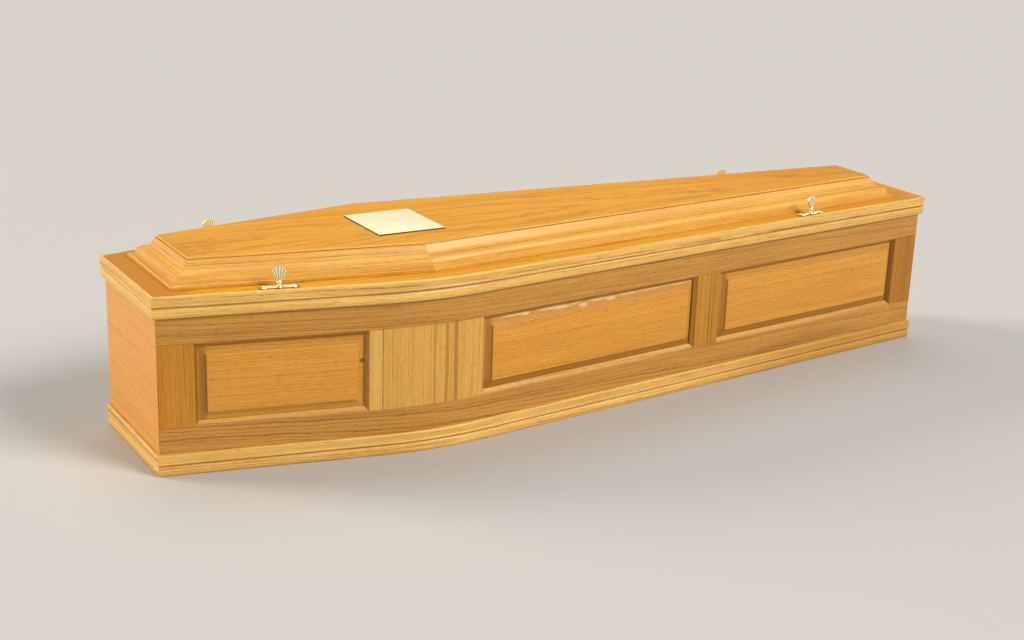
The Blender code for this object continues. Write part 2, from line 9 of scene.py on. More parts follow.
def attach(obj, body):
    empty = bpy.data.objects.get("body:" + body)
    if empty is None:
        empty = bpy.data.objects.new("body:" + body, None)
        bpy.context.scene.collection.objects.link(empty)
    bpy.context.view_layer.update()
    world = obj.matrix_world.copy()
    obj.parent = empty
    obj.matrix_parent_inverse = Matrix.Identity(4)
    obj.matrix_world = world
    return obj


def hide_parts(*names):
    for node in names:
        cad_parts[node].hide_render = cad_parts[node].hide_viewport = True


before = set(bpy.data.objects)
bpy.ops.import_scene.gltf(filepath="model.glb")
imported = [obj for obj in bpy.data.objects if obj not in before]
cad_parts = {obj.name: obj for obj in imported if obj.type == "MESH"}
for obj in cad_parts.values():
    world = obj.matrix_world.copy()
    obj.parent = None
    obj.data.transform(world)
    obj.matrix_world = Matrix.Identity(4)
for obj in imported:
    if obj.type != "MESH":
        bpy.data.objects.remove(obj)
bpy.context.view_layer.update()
scene = bpy.context.scene

# A lacquered oak coffin with its lid on, in metres.
# The head end is at -X, the foot end at +X, and the occupant's right side at -Y.

# Body outline over the outer faces of the boards
BODY_LENGTH = 1.930
HEAD_WIDTH = 0.300
SHOULDER_WIDTH = 0.520
FOOT_WIDTH = 0.250
SHOULDER_FROM_HEAD = 0.534
SHOULDER_BEND_RADIUS = 0.740
BEND_STEPS = 36
BODY_HEIGHT = 0.340
FIT_GAP = 0.0003

# Frames and panels of the sides
TOP_RAIL_WIDTH = 0.078
BOTTOM_RAIL_WIDTH = 0.095
HEAD_STILE_WIDTH = 0.067
SHOULDER_STRIP_WIDTH = 0.027
SHOULDER_BOARD_WIDTH = 0.218
MIDDLE_STILE_WIDTH = 0.067
FOOT_STILE_WIDTH = 0.071
FOOT_OPENING_LENGTH = 0.577
FRAME_CHAMFER_WIDTH = 0.009
PANEL_BEVEL_WIDTH = 0.018
PANEL_BEVEL_HEIGHT = 0.0095
PANEL_ARRIS = 0.0025
PANEL_STATION_STEP = 0.030
PANEL_FIELD_SETBACK = 0.0010
TONGUE_THICKNESS = 0.0055
TONGUE_LENGTH = 0.006

# Planted moulding of the plinth and of the lid edge: radii are (out, up)
MOULDING_HEIGHT = 0.043
MOULDING_THICKNESS = 0.0057
MOULDING_ROUND_OVER = 0.0042
MOULDING_FACE_SETBACK = 0.0010
MOULDING_BEAD = (0.0015, 0.0026)
MOULDING_BEAD_ANGLES = (-55, 60)
MOULDING_BEAD_MIDDLE = 0.0245
MOULDING_BEAD_SETBACK = 0.0016
MOULDING_GROOVE_DEPTH = 0.0032
MOULDING_GROOVE_HEIGHT = 0.0195
MOULDING_TORUS = (0.0028, 0.0090)
MOULDING_TORUS_ANGLES = (-62, 72)
MOULDING_TORUS_SETBACK = 0.0034
MOULDING_FACE_START = MOULDING_BEAD_MIDDLE + MOULDING_BEAD[1] * 1.25
MOULDING_PARTS = 13

# Lid: pairs of its raised moulding are (depth, height)
LID_THICKNESS = 0.018
LID_CLEARANCE = 0.0027
HEAD_LEDGE = 0.048
SIDE_LEDGE = 0.0365
FOOT_LEDGE = 0.074
SHOULDER_LEDGE = 0.050
RAISED_SHOULDER_SHIFT = 0.012
RAISED_HEIGHT = 0.0485
RAISED_MOULDING_WIDTH = 0.050
RAISED_MOULDING_REBATE = 0.012
RAISED_FILLET = 0.0055
RAISED_LOWER_HOLLOW = (0.0135, 0.0035)
RAISED_HOLLOW_ANGLES = (-70, 0)
RAISED_ROUND = (0.0110, 0.0145)
RAISED_ROUND_ANGLES = (170, 90)
RAISED_SLOPE = (0.0090, 0.0028)
RAISED_SLOPE_START = 0.2
OGEE_FOOT_PULL = (0.0070, 0.0020)
OGEE_TOP_PULL = (0.0045, 0.0005)
OGEE_STEPS = 22
OGEE_QUIRK_STEP = 16
RAISED_QUIRK = 0.0020
ROUND_QUIRK_DROP = RAISED_QUIRK * 0.6
OGEE_QUIRK_DROP = RAISED_QUIRK * 0.3
FULL_FOLD_DEGREES = 50
TOP_PANEL_THICKNESS = 0.010
LID_TOP = BODY_HEIGHT + FIT_GAP + LID_THICKNESS
LID_MOULDING_BACK = -LID_CLEARANCE - FIT_GAP
LID_EDGE_OUT = MOULDING_THICKNESS - LID_MOULDING_BACK
RAISED_BASE = LID_TOP + FIT_GAP
RAISED_TOP = RAISED_BASE + RAISED_HEIGHT

# Name plate and lid screws
PLATE_LENGTH = 0.150
PLATE_WIDTH = 0.168
PLATE_THICKNESS = 0.0025
PLATE_CORNER_RADIUS = 0.0015
PLATE_EASING = 0.0006
PLATE_FROM_HEAD = 0.561
PLATE_TOWARDS_RIGHT = 0.010
RIGHT_SCREWS_FROM_HEAD = (0.229, 1.558)
LEFT_SCREWS_FROM_HEAD = (0.233, 1.536)
RIGHT_SCREWS_FROM_EDGE = 0.0125
LEFT_SCREWS_FROM_EDGE = 0.018
SCREW_PLATE_LENGTH = 0.077
SCREW_PLATE_THICKNESS = 0.0045
SCREW_HEIGHT = 0.037
SHELL_WIDTH = 0.031
SHELL_HEIGHT = 0.026
SHELL_THICKNESS = 0.006
SHELL_FLUTES = 5

# Cast details of the screws and their plates, finer than the CAD has them. Layers are
# (height, share of the width), and rings of the boss (radius, height). A swell of half the
# plate's width is (rise, where it is highest, how far it reaches, power), places as shares.
PLATE_LAYERS = ((0.0, 1.0), (0.0014, 1.0), (0.0022, 0.80), (0.0026, 0.45))
PLATE_BAR_HALF = 0.0015
PLATE_SWELLS = ((0.0055, 0.0, 0.24, 0.7), (0.0048, 0.74, 0.24, 0.6))
PLATE_BASE_PAINTED_SHADE = 0.75
BOSS_RINGS = (
    (0.0070, 0.0), (0.0070, 0.0016), (0.0062, 0.0028), (0.0052, 0.0036),
    (0.0046, SCREW_PLATE_THICKNESS),
)
BOSS_NARROWED = 0.9
SCROLL_WIRE_RADIUS = 0.0019
SCROLL_WIRE_TAPER = 0.30
SCROLL_LIFT = 0.0022
SCROLL_START = 0.007
SCROLL_BAR_END = 0.025
SCROLL_BAR_STEPS = 13
SCROLL_SWING = 0.0016
SCROLL_CURL_MIDDLE = (0.0295, 0.0036)
SCROLL_CURL_RADIUS = 0.0046
SCROLL_CURL_ANGLES = (151, 529)
SCROLL_CURL_SHRINK = 0.66
SCROLL_CURL_STEPS = 25
# Turned members of the stem, from its foot: (share of its height, radius)
STEM_RINGS = (
    (0.00, 0.0055), (0.06, 0.0057), (0.12, 0.0053), (0.17, 0.0040), (0.24, 0.0028), (0.34, 0.0026),
    (0.42, 0.0030), (0.48, 0.0041), (0.56, 0.0048), (0.66, 0.0050), (0.76, 0.0047), (0.84, 0.0040),
    (0.92, 0.0030), (1.00, 0.0026),
)
FAN_NECK = 0.0030
FAN_SUNK = 0.0030
FAN_SPREAD = 1.28
FAN_CORNER_DROP = 0.30
FAN_NOTCH = 0.0022
FAN_RIM = 0.0007
FAN_RIB_POWER = 0.8
FAN_SWELL = (0.18, 0.70, 0.6)
FAN_SIDE_THINNING = 0.30
FAN_NECK_NARROWING = 0.3
FAN_GAP_PAINTED_SHADE = 2.4


# The coffin's outline in plan

def edge_directions(corners):
    following = corners[1:] + corners[:1]
    return [(after - corner).normalized() for corner, after in zip(corners, following)]


def inward_normal(direction):
    return Vector((-direction.y, direction.x))


def mitre_slopes(corners):
    """How far a mitre runs along an edge for each unit of depth, at every corner."""
    directions = edge_directions(corners)
    slopes = []
    for number, leaving in enumerate(directions):
        arriving = directions[number - 1]
        turn = math.atan2(arriving.cross(leaving), arriving.dot(leaving))
        slopes.append(math.tan(turn / 2))
    return slopes


def inset_outline(corners, insets):
    """The outline with each edge moved inwards by its own inset."""
    directions = edge_directions(corners)
    moved = []
    for number, corner in enumerate(corners):
        before, after = directions[number - 1], directions[number]
        from_before = inward_normal(before) * insets[number - 1]
        from_after = inward_normal(after) * insets[number]
        reach = (from_after - from_before).cross(after) / before.cross(after)
        moved.append(corner + from_before + before * reach)
    return moved


HEAD_END = -BODY_LENGTH / 2
RIGHT_CORNERS = [
    Vector((HEAD_END, -HEAD_WIDTH / 2)),
    Vector((HEAD_END + SHOULDER_FROM_HEAD, -SHOULDER_WIDTH / 2)),
    Vector((BODY_LENGTH / 2, -FOOT_WIDTH / 2)),
]
CORNERS = RIGHT_CORNERS + [Vector((corner.x, -corner.y)) for corner in reversed(RIGHT_CORNERS)]
HEAD_MITRE, _, FOOT_MITRE = mitre_slopes(CORNERS)[:3]
FIRST_DIRECTION, SECOND_DIRECTION = edge_directions(CORNERS)[:2]
SHOULDER_TURN = math.atan2(
    FIRST_DIRECTION.cross(SECOND_DIRECTION), FIRST_DIRECTION.dot(SECOND_DIRECTION)
)
BEND_TANGENT = SHOULDER_BEND_RADIUS * math.tan(SHOULDER_TURN / 2)
BEND_START = (CORNERS[1] - CORNERS[0]).length - BEND_TANGENT
BEND_END = BEND_START + SHOULDER_BEND_RADIUS * SHOULDER_TURN
SIDE_LENGTH = BEND_END + (CORNERS[2] - CORNERS[1]).length - BEND_TANGENT
BEND_CENTRE = (
    CORNERS[0] + FIRST_DIRECTION * BEND_START + inward_normal(FIRST_DIRECTION) * SHOULDER_BEND_RADIUS
)
FIRST_HEADING = math.atan2(FIRST_DIRECTION.y, FIRST_DIRECTION.x)
SHOULDER_MIDDLE = (BEND_START + BEND_END) / 2
SHOULDER_BOARD_START = SHOULDER_MIDDLE - SHOULDER_BOARD_WIDTH / 2
SHOULDER_BOARD_END = SHOULDER_MIDDLE + SHOULDER_BOARD_WIDTH / 2
FOOT_STILE_START = SIDE_LENGTH - FOOT_STILE_WIDTH
MIDDLE_STILE_END = FOOT_STILE_START - FOOT_OPENING_LENGTH
MIDDLE_STILE_START = MIDDLE_STILE_END - MIDDLE_STILE_WIDTH
OPENING_BOTTOM = BOTTOM_RAIL_WIDTH
OPENING_TOP = BODY_HEIGHT - TOP_RAIL_WIDTH
OPENINGS = {
    "head": (HEAD_STILE_WIDTH, SHOULDER_BOARD_START - SHOULDER_STRIP_WIDTH),
    "middle": (SHOULDER_BOARD_END, MIDDLE_STILE_START),
    "foot": (MIDDLE_STILE_END, FOOT_STILE_START),
}


def side_point(along, depth):
    """The plan point of the right side at a distance along its outer face and a depth behind it."""
    if along <= BEND_START:
        return CORNERS[0] + FIRST_DIRECTION * along + inward_normal(FIRST_DIRECTION) * depth
    if along >= BEND_END:
        back = SIDE_LENGTH - along
        return CORNERS[2] - SECOND_DIRECTION * back + inward_normal(SECOND_DIRECTION) * depth
    heading = FIRST_HEADING + (along - BEND_START) / SHOULDER_BEND_RADIUS
    return BEND_CENTRE + Vector((math.sin(heading), -math.cos(heading))) * (SHOULDER_BEND_RADIUS - depth)


def side_coordinates(x, y):
    """The reverse of side_point: distance along the side and depth, also for the left side."""
    plan = Vector((x, -abs(y)))
    first = (plan - CORNERS[0]).dot(FIRST_DIRECTION)
    if first <= BEND_START:
        return first, (plan - CORNERS[0]).dot(inward_normal(FIRST_DIRECTION))
    last = SIDE_LENGTH + (plan - CORNERS[2]).dot(SECOND_DIRECTION)
    if last >= BEND_END:
        return last, (plan - CORNERS[2]).dot(inward_normal(SECOND_DIRECTION))
    spoke = plan - BEND_CENTRE
    turned = math.atan2(spoke.x, -spoke.y) - FIRST_HEADING
    return BEND_START + turned * SHOULDER_BEND_RADIUS, SHOULDER_BEND_RADIUS - spoke.length


# Placing rules: each turns a piece's own (along, depth, height) into a place on the coffin

def on_side(mirror):
    def place(point):
        plan = side_point(point[0], point[1])
        return Vector((plan.x, mirror * plan.y, point[2]))
    return place


def on_edge(start, end):
    direction = (end - start).normalized()

    def place(point):
        plan = start + direction * point[0] + inward_normal(direction) * point[1]
        return Vector((plan.x, plan.y, point[2]))
    return place


def in_place(point):
    return Vector(point)


def arc_points(centre, radii, start, end, steps):
    """Points on an ellipse from one angle to another one, in degrees."""
    points = []
    for step in range(steps + 1):
        angle = math.radians(start + (end - start) * step / steps)
        points.append((centre[0] + radii[0] * math.cos(angle), centre[1] + radii[1] * math.sin(angle)))
    return points


# Making and finishing pieces

def new_piece(name, mesh_edit, material, slot_name, replaced, sharp_degrees=32):
    """A finished piece that stands for CAD nodes: smooth, with its crisp edges kept."""
    mesh_edit.normal_update()
    bmesh.ops.recalc_face_normals(mesh_edit, faces=mesh_edit.faces)
    if mesh_edit.calc_volume(signed=True) < 0:
        bmesh.ops.reverse_faces(mesh_edit, faces=mesh_edit.faces)
    mesh = bpy.data.meshes.new(name)
    mesh_edit.to_mesh(mesh)
    mesh_edit.free()
    mesh.shade_smooth()
    mesh.set_sharp_from_angle(angle=math.radians(sharp_degrees))
    piece = bpy.data.objects.new(name, mesh)
    scene.collection.objects.link(piece)
    mesh.materials.append(material)
    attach(piece, "root")
    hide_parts(*replaced)
    return piece


def loft_into(mesh_edit, rings, place=in_place, ladder_ends=False):
    """Joins rings of as many points each into one closed solid, and gives back their vertices.

    A ring that runs out and comes back the same way can have ladder ends: rungs of four-sided
    faces, which follow a curved surface where one large face can't.
    """
    loops = [[mesh_edit.verts.new(place(point)) for point in ring] for ring in rings]
    count = len(loops[0])
    for lower, upper in zip(loops, loops[1:]):
        for here in range(count):
            after = (here + 1) % count
            mesh_edit.faces.new((lower[here], lower[after], upper[after], upper[here]))
    for loop in (loops[0][::-1], loops[-1]):
        if not ladder_ends:
            mesh_edit.faces.new(loop)
            continue
        for here in range(count // 2 - 1):
            back = count - 1 - here
            mesh_edit.faces.new((loop[here], loop[here + 1], loop[back - 1], loop[back]))
    return loops


GOLDEN_SHARE = 0.618034


def write_grain(piece, coordinates, number):
    """Notes for each point how far it lies along the grain, across it and into the wood.

    The number gives the piece a tint and a stretch of grain of its own.
    """
    mesh = piece.data
    values = np.array([coordinates(vertex.co) for vertex in mesh.vertices], np.float32)
    mesh.attributes.new("grain", "FLOAT_VECTOR", "POINT").data.foreach_set("vector", values.ravel())
    tint = np.full(len(mesh.vertices), (number * GOLDEN_SHARE) % 1.0, np.float32)
    mesh.attributes.new("piece", "FLOAT", "POINT").data.foreach_set("value", tint)


# Grain rules: each turns a place on the coffin into (along, across, into the wood)

def lengthwise_on_side(co):
    along, depth = side_coordinates(co.x, co.y)
    return along, co.z, depth


def upright_on_side(co):
    along, depth = side_coordinates(co.x, co.y)
    return co.z, along, depth


def across_the_end(co):
    return co.y, co.z, co.x


def lengthwise_on_lid(co):
    return co.x, co.y, co.z


def along_edge(start, direction):
    def coordinates(co):
        plan = Vector((co.x, co.y)) - start
        return plan.dot(direction), co.z + plan.dot(inward_normal(direction)), co.z
    return coordinates


# Colours and nodes

def linear(code):
    """An sRGB hex colour as a linear one."""
    shares = [int(code[place:place + 2], 16) / 255 for place in (0, 2, 4)]
    return tuple([s / 12.92 if s <= 0.04045 else ((s + 0.055) / 1.055) ** 2.4 for s in shares] + [1.0])


def add(tree, kind, settings=None, links=None):
    """Adds a node with its settings; each link is an input and a value or another node's output."""
    node = tree.nodes.new(kind)
    for name, value in (settings or {}).items():
        setattr(node, name, value)
    for socket, value in (links or {}).items():
        if isinstance(value, bpy.types.NodeSocket):
            tree.links.new(value, node.inputs[socket])
        else:
            node.inputs[socket].default_value = value
    return node


def bare_material(name):
    material = bpy.data.materials.new(name)
    material.use_nodes = True
    return material, material.node_tree, material.node_tree.nodes["Principled BSDF"]


MM = 0.001
LOW_BEVEL_END = OPENING_BOTTOM + FRAME_CHAMFER_WIDTH + PANEL_BEVEL_WIDTH
# How dark a yearly ring is at both its ends, and at shares of the way between them
RING_ENDS = (0.30, 0.10)
RING_STOPS = ((0.07, 1.0), (0.17, 0.80), (0.34, 0.22), (0.62, 0.0))
PIECES_APART = (37.0, 13.0, 7.0)
PITHS_APART = 0.040
# How dark the pores and the painted shade in creases are, as a share of the line colour
DARKEST_SHARE = 0.55
MARK_WAVER = 0.012


def oak(name, light, dark, line, ring_mm, pith_mm, tilt_mm, wave_mm, fade, fibre, blotch,
        painted_bevel_light_and_shade=None, marks=(), lacquer=0.25, crease_shade=0.5):
    """European oak, planed and sanded, under a clear satin lacquer that warms it.

    The eye sees yearly rings as darker lines along the grain, short dark pores between them,
    fine fibres, and slow changes of tone. Rings are cylinders round a pith line that lies
    pith_mm across from the board's zero and behind its face, and drifts by tilt_mm a metre.
    wave_mm are the heights of their slow, middling and short waves, and fade is how far their
    lines come and go. Bevels and chamfers, cut deeper than the face, take a pair of colours of
    painted light and shade: the second one along the bottom of the openings, and the first one,
    a painted shade, elsewhere. Each mark is a streak, a knot, a patch of painted shade or a
    painted glint: (colour, along, across, length, breadth, share), lengths in mm.
    lacquer is the coat's weight, and the crease share is how much painted shade a moulding
    takes in its inner corners.
    """
    material, tree, shader = bare_material(name)
    grain = add(tree, "ShaderNodeAttribute", {"attribute_name": "grain"}).outputs["Vector"]
    piece = add(tree, "ShaderNodeAttribute", {"attribute_name": "piece"}).outputs["Fac"]
    own_wood = add(tree, "ShaderNodeVectorMath", {"operation": "MULTIPLY_ADD"},
                   {0: piece, 1: PIECES_APART, 2: grain}).outputs["Vector"]
    parts = add(tree, "ShaderNodeSeparateXYZ", {}, {0: grain}).outputs

    def drawn_out(along_mm, across_mm, detail=2.0):
        """Noise with spots so long and so broad, drawn out along the grain."""
        scale = (1 / (along_mm * MM), 1 / (across_mm * MM), 1 / (across_mm * MM))
        place = add(tree, "ShaderNodeVectorMath", {"operation": "MULTIPLY"},
                    {0: own_wood, 1: scale}).outputs[0]
        return add(tree, "ShaderNodeTexNoise", {},
                   {"Vector": place, "Scale": 1.0, "Detail": detail}).outputs["Fac"]

    # Waves of the grain: slow ones 400 mm long, middling ones of 90 mm and short ones of 42 mm
    slow = drawn_out(400, 60, 1.5)
    shift = -sum(wave_mm) * MM
    for wave, height in zip((slow, drawn_out(90, 26), drawn_out(42, 12)), wave_mm):
        shift = add(tree, "ShaderNodeMath", {"operation": "MULTIPLY_ADD"},
                    {0: wave, 1: height * 2 * MM, 2: shift}).outputs[0]

    # Distance from the pith line, which moves a little from piece to piece, then the ring that
    # the point is in: rings are of uneven widths
    across = add(tree, "ShaderNodeMath", {"operation": "MULTIPLY_ADD"},
                 {0: piece, 1: PITHS_APART, 2: parts["Y"]}).outputs[0]
    across = add(tree, "ShaderNodeMath", {"operation": "SUBTRACT"},
                 {0: across, 1: pith_mm[0] * MM}).outputs[0]
    behind = add(tree, "ShaderNodeMath", {"operation": "ADD"},
                 {0: parts["Z"], 1: pith_mm[1] * MM}).outputs[0]
    flat = add(tree, "ShaderNodeCombineXYZ", {}, {0: across, 1: behind, 2: 0.0}).outputs[0]
    radius = add(tree, "ShaderNodeVectorMath", {"operation": "LENGTH"}, {0: flat}).outputs["Value"]
    drift = add(tree, "ShaderNodeMath", {"operation": "MULTIPLY_ADD"},
                {0: parts["X"], 1: tilt_mm * MM, 2: shift}).outputs[0]
    rings = add(tree, "ShaderNodeMath", {"operation": "ADD"}, {0: radius, 1: drift}).outputs[0]
    rings = add(tree, "ShaderNodeMath", {"operation": "DIVIDE"}, {0: rings, 1: ring_mm * MM}).outputs[0]
    uneven = add(tree, "ShaderNodeTexNoise", {"noise_dimensions": "1D"},
                 {"W": rings, "Scale": 0.8, "Detail": 1.0})
    rings = add(tree, "ShaderNodeMath", {"operation": "MULTIPLY_ADD"},
                {0: uneven.outputs["Fac"], 1: 1.6, 2: rings}).outputs[0]
    within = add(tree, "ShaderNodeMath", {"operation": "FRACT"}, {0: rings}).outputs[0]
    which = add(tree, "ShaderNodeMath", {"operation": "FLOOR"}, {0: rings}).outputs[0]
    strength = add(tree, "ShaderNodeTexWhiteNoise", {"noise_dimensions": "1D"},
                   {"W": which}).outputs["Value"]
    profile = add(tree, "ShaderNodeValToRGB", {}, {0: within})
    stops = profile.color_ramp.elements
    for stop, value in zip(stops, RING_ENDS):
        stop.color = (value, value, value, 1)
    for share, value in RING_STOPS:
        stops.new(share).color = (value, value, value, 1)
    # A ring line is stronger or fainter as a whole, and comes and goes every 110 mm or so
    weight = add(tree, "ShaderNodeMath", {"operation": "MULTIPLY_ADD"},
                 {0: strength, 1: 0.6, 2: 0.4}).outputs[0]
    broken = add(tree, "ShaderNodeMapRange", {},
                 {0: drawn_out(110, 9), 1: 0.36, 2: 0.60, 3: 1.0 - fade, 4: 1.0}).outputs[0]
    weight = add(tree, "ShaderNodeMath", {"operation": "MULTIPLY"}, {0: weight, 1: broken}).outputs[0]
    lines = add(tree, "ShaderNodeMath", {"operation": "MULTIPLY"},
                {0: profile.outputs["Color"], 1: weight}).outputs[0]

    # Slow change of tone, 300 mm along and 30 mm across, and fibres 100 by 1.8 mm
    tone = add(tree, "ShaderNodeMapRange", {},
               {0: drawn_out(300, 30, 3.0), 1: 0.3, 2: 0.7, 3: 0.0, 4: blotch}).outputs[0]
    fibres = add(tree, "ShaderNodeMapRange", {},
                 {0: drawn_out(100, 1.8, 2.5), 1: 0.3, 2: 0.7, 3: -fibre, 4: fibre}).outputs[0]
    tone = add(tree, "ShaderNodeMath", {"operation": "ADD", "use_clamp": True},
               {0: tone, 1: fibres}).outputs[0]
    colour = add(tree, "ShaderNodeMix", {"data_type": "RGBA"},
                 {0: tone, 6: linear(light), 7: linear(dark)}).outputs[2]
    overlays = []

    # Painted light and shade on bevels and chamfers, from 1.4 mm below the face and wholly from 3 mm:
    # painted shade, and along the bottom of the openings a painted tone for faces that turn up or down
    if painted_bevel_light_and_shade:
        deep = add(tree, "ShaderNodeMapRange", {},
                   {0: parts["Z"], 1: 0.0014, 2: 0.0030, 3: 0.0, 4: 0.70}).outputs[0]
        above = add(tree, "ShaderNodeMapRange", {},
                    {0: parts["Y"], 1: LOW_BEVEL_END, 2: LOW_BEVEL_END + MM, 3: 0.0, 4: 1.0}).outputs[0]
        painted_bevel_colour = add(tree, "ShaderNodeMix", {"data_type": "RGBA"},
                            {0: above, 6: linear(painted_bevel_light_and_shade[1]), 7: linear(painted_bevel_light_and_shade[0])}).outputs[2]
        overlays.append((deep, painted_bevel_colour))

    # Streaks, knots, patches of painted shade and painted glints at known places, with edges that waver
    # by a few mm
    waver = add(tree, "ShaderNodeVectorMath", {"operation": "MULTIPLY_ADD"},
                {0: slow, 1: (0.0, MARK_WAVER, 0.0), 2: grain}).outputs["Vector"]
    for mark_colour, along_mm, across_mm, length_mm, breadth_mm, most in marks:
        middle = (along_mm * MM, across_mm * MM + MARK_WAVER / 2, 0.0)
        away = add(tree, "ShaderNodeVectorMath", {"operation": "SUBTRACT"},
                   {0: waver, 1: middle}).outputs[0]
        away = add(tree, "ShaderNodeVectorMath", {"operation": "MULTIPLY"},
                   {0: away, 1: (1 / (length_mm * MM), 1 / (breadth_mm * MM), 0.0)}).outputs[0]
        away = add(tree, "ShaderNodeVectorMath", {"operation": "LENGTH"}, {0: away}).outputs["Value"]
        share = add(tree, "ShaderNodeMapRange", {"interpolation_type": "SMOOTHSTEP"},
                    {0: away, 1: 0.3, 2: 1.0, 3: most, 4: 0.0}).outputs[0]
        overlays.append((share, linear(mark_colour)))

    # Painted shade in the inner corners of mouldings, as the piece notes it
    darkest = tuple(share * DARKEST_SHARE for share in linear(line)[:3]) + (1.0,)
    painted_shade = add(tree, "ShaderNodeAttribute", {"attribute_name": "painted_shade"}).outputs["Fac"]
    painted_crease_shade = add(tree, "ShaderNodeMath", {"operation": "MULTIPLY"}, {0: painted_shade, 1: crease_shade}).outputs[0]
    overlays += [(painted_crease_shade, darkest), (lines, linear(line))]

    # Pores: real ones are 0.3 mm wide and 3 to 15 mm long, drawn 1 mm wide so that they show
    pore = add(tree, "ShaderNodeMapRange", {"interpolation_type": "SMOOTHSTEP"},
               {0: drawn_out(16, 1.2, 1.0), 1: 0.54, 2: 0.68, 3: 0.0, 4: 1.0}).outputs[0]
    near_line = add(tree, "ShaderNodeMath", {"operation": "MULTIPLY_ADD"},
                    {0: lines, 1: 0.6, 2: 0.25}).outputs[0]
    pore = add(tree, "ShaderNodeMath", {"operation": "MULTIPLY"}, {0: pore, 1: near_line}).outputs[0]
    overlays.append((pore, darkest))

    # All of these are laid over the tone of the wood, one after another
    for share, over in overlays:
        colour = add(tree, "ShaderNodeMix", {"data_type": "RGBA"},
                     {0: share, 6: colour, 7: over}).outputs[2]
    tree.links.new(colour, shader.inputs["Base Color"])

    # Sanding and lacquer: a touch duller in the pores, which stay 0.05 mm deep
    dull = add(tree, "ShaderNodeMapRange", {}, {0: pore, 1: 0.0, 2: 1.0, 3: 0.42, 4: 0.57}).outputs[0]
    tree.links.new(dull, shader.inputs["Roughness"])
    height = add(tree, "ShaderNodeMath", {"operation": "MULTIPLY"}, {0: pore, 1: -1.0}).outputs[0]
    bump = add(tree, "ShaderNodeBump", {},
               {"Strength": 0.25, "Distance": 0.00005, "Height": height}).outputs[0]
    tree.links.new(bump, shader.inputs["Normal"])
    shader.inputs["Specular IOR Level"].default_value = 0.30
    shader.inputs["Coat Weight"].default_value = lacquer
    shader.inputs["Coat Roughness"].default_value = 0.20
    return material


# Colour of the painted shade and painted dark reflection on brass
BRASS_PAINTED_SHADE = "3C321C"


def brass(name, bright, toned, roughness):
    """Cast brass, polished and lacquered: bright, with an uneven tone, and painted shade in its hollows.

    The lacquer has clouded, so it scatters light as much as it mirrors the room.
    """
    material, tree, shader = bare_material(name)
    place = add(tree, "ShaderNodeTexCoord").outputs["Object"]
    # Cloudiness of the casting, about 4 mm wide
    cloud = add(tree, "ShaderNodeTexNoise", {},
                {"Vector": place, "Scale": 250.0, "Detail": 3.0}).outputs["Fac"]
    colour = add(tree, "ShaderNodeMix", {"data_type": "RGBA"},
                 {0: cloud, 6: linear(bright), 7: linear(toned)}).outputs[2]
    # Painted shade in the hollows, and a painted dark reflection on the scrolled plate's base, as the
    # piece notes them
    painted_shade = add(tree, "ShaderNodeAttribute", {"attribute_name": "painted_shade"}).outputs["Fac"]
    colour = add(tree, "ShaderNodeMix", {"data_type": "RGBA"},
                 {0: painted_shade, 6: colour, 7: linear(BRASS_PAINTED_SHADE)}).outputs[2]
    tree.links.new(colour, shader.inputs["Base Color"])
    dull = add(tree, "ShaderNodeMapRange", {},
               {0: cloud, 1: 0.3, 2: 0.7, 3: roughness, 4: roughness + 0.1}).outputs[0]
    tree.links.new(dull, shader.inputs["Roughness"])
    shader.inputs["Metallic"].default_value = 0.50
    return material


def brushed_plate(name, bright, toned, roughness):
    """Pale lacquered plate, finely brushed across: its pale colour is partly a painted reflection of the
    pale room, and it gives back the light evenly.
    """
    material, tree, shader = bare_material(name)
    place = add(tree, "ShaderNodeTexCoord").outputs["Object"]
    # Brush lines, drawn 0.6 mm apart and 60 mm long so that they show up close
    lines_place = add(tree, "ShaderNodeVectorMath", {"operation": "MULTIPLY"},
                      {0: place, 1: (1 / 0.0006, 1 / 0.060, 1 / 0.002)}).outputs["Vector"]
    brushed = add(tree, "ShaderNodeTexNoise", {},
                  {"Vector": lines_place, "Scale": 1.0, "Detail": 2.0}).outputs["Fac"]
    colour = add(tree, "ShaderNodeMix", {"data_type": "RGBA"},
                 {0: brushed, 6: linear(bright), 7: linear(toned)}).outputs[2]
    tree.links.new(colour, shader.inputs["Base Color"])
    dull = add(tree, "ShaderNodeMapRange", {},
               {0: brushed, 1: 0.3, 2: 0.7, 3: roughness, 4: roughness + 0.08}).outputs[0]
    tree.links.new(dull, shader.inputs["Roughness"])
    return material


# In the oaks below, the pair of bevel colours is painted light and shade: the first is painted shade on
# chamfers and bevels, and the second, along the bottom of the openings, is painted light where it is
# lighter, as on the bottom rail and the head panel, and painted shade where darker
# The bottom rail has a browner streak towards the foot
RAIL_OAK = oak(
    "satin_oak_rail", light="CF9540", dark="BC8130", line="8A5420", painted_bevel_light_and_shade=("A87630", "DFAE54"),
    ring_mm=6.0, pith_mm=(40, 45), tilt_mm=24.0, wave_mm=(7.0, 2.0, 1.0),
    fade=0.5, fibre=0.45, blotch=0.7,
    marks=(("A0682A", (OPENINGS["foot"][0] + 0.30) / MM, 55, 230, 16, 0.55),),
)
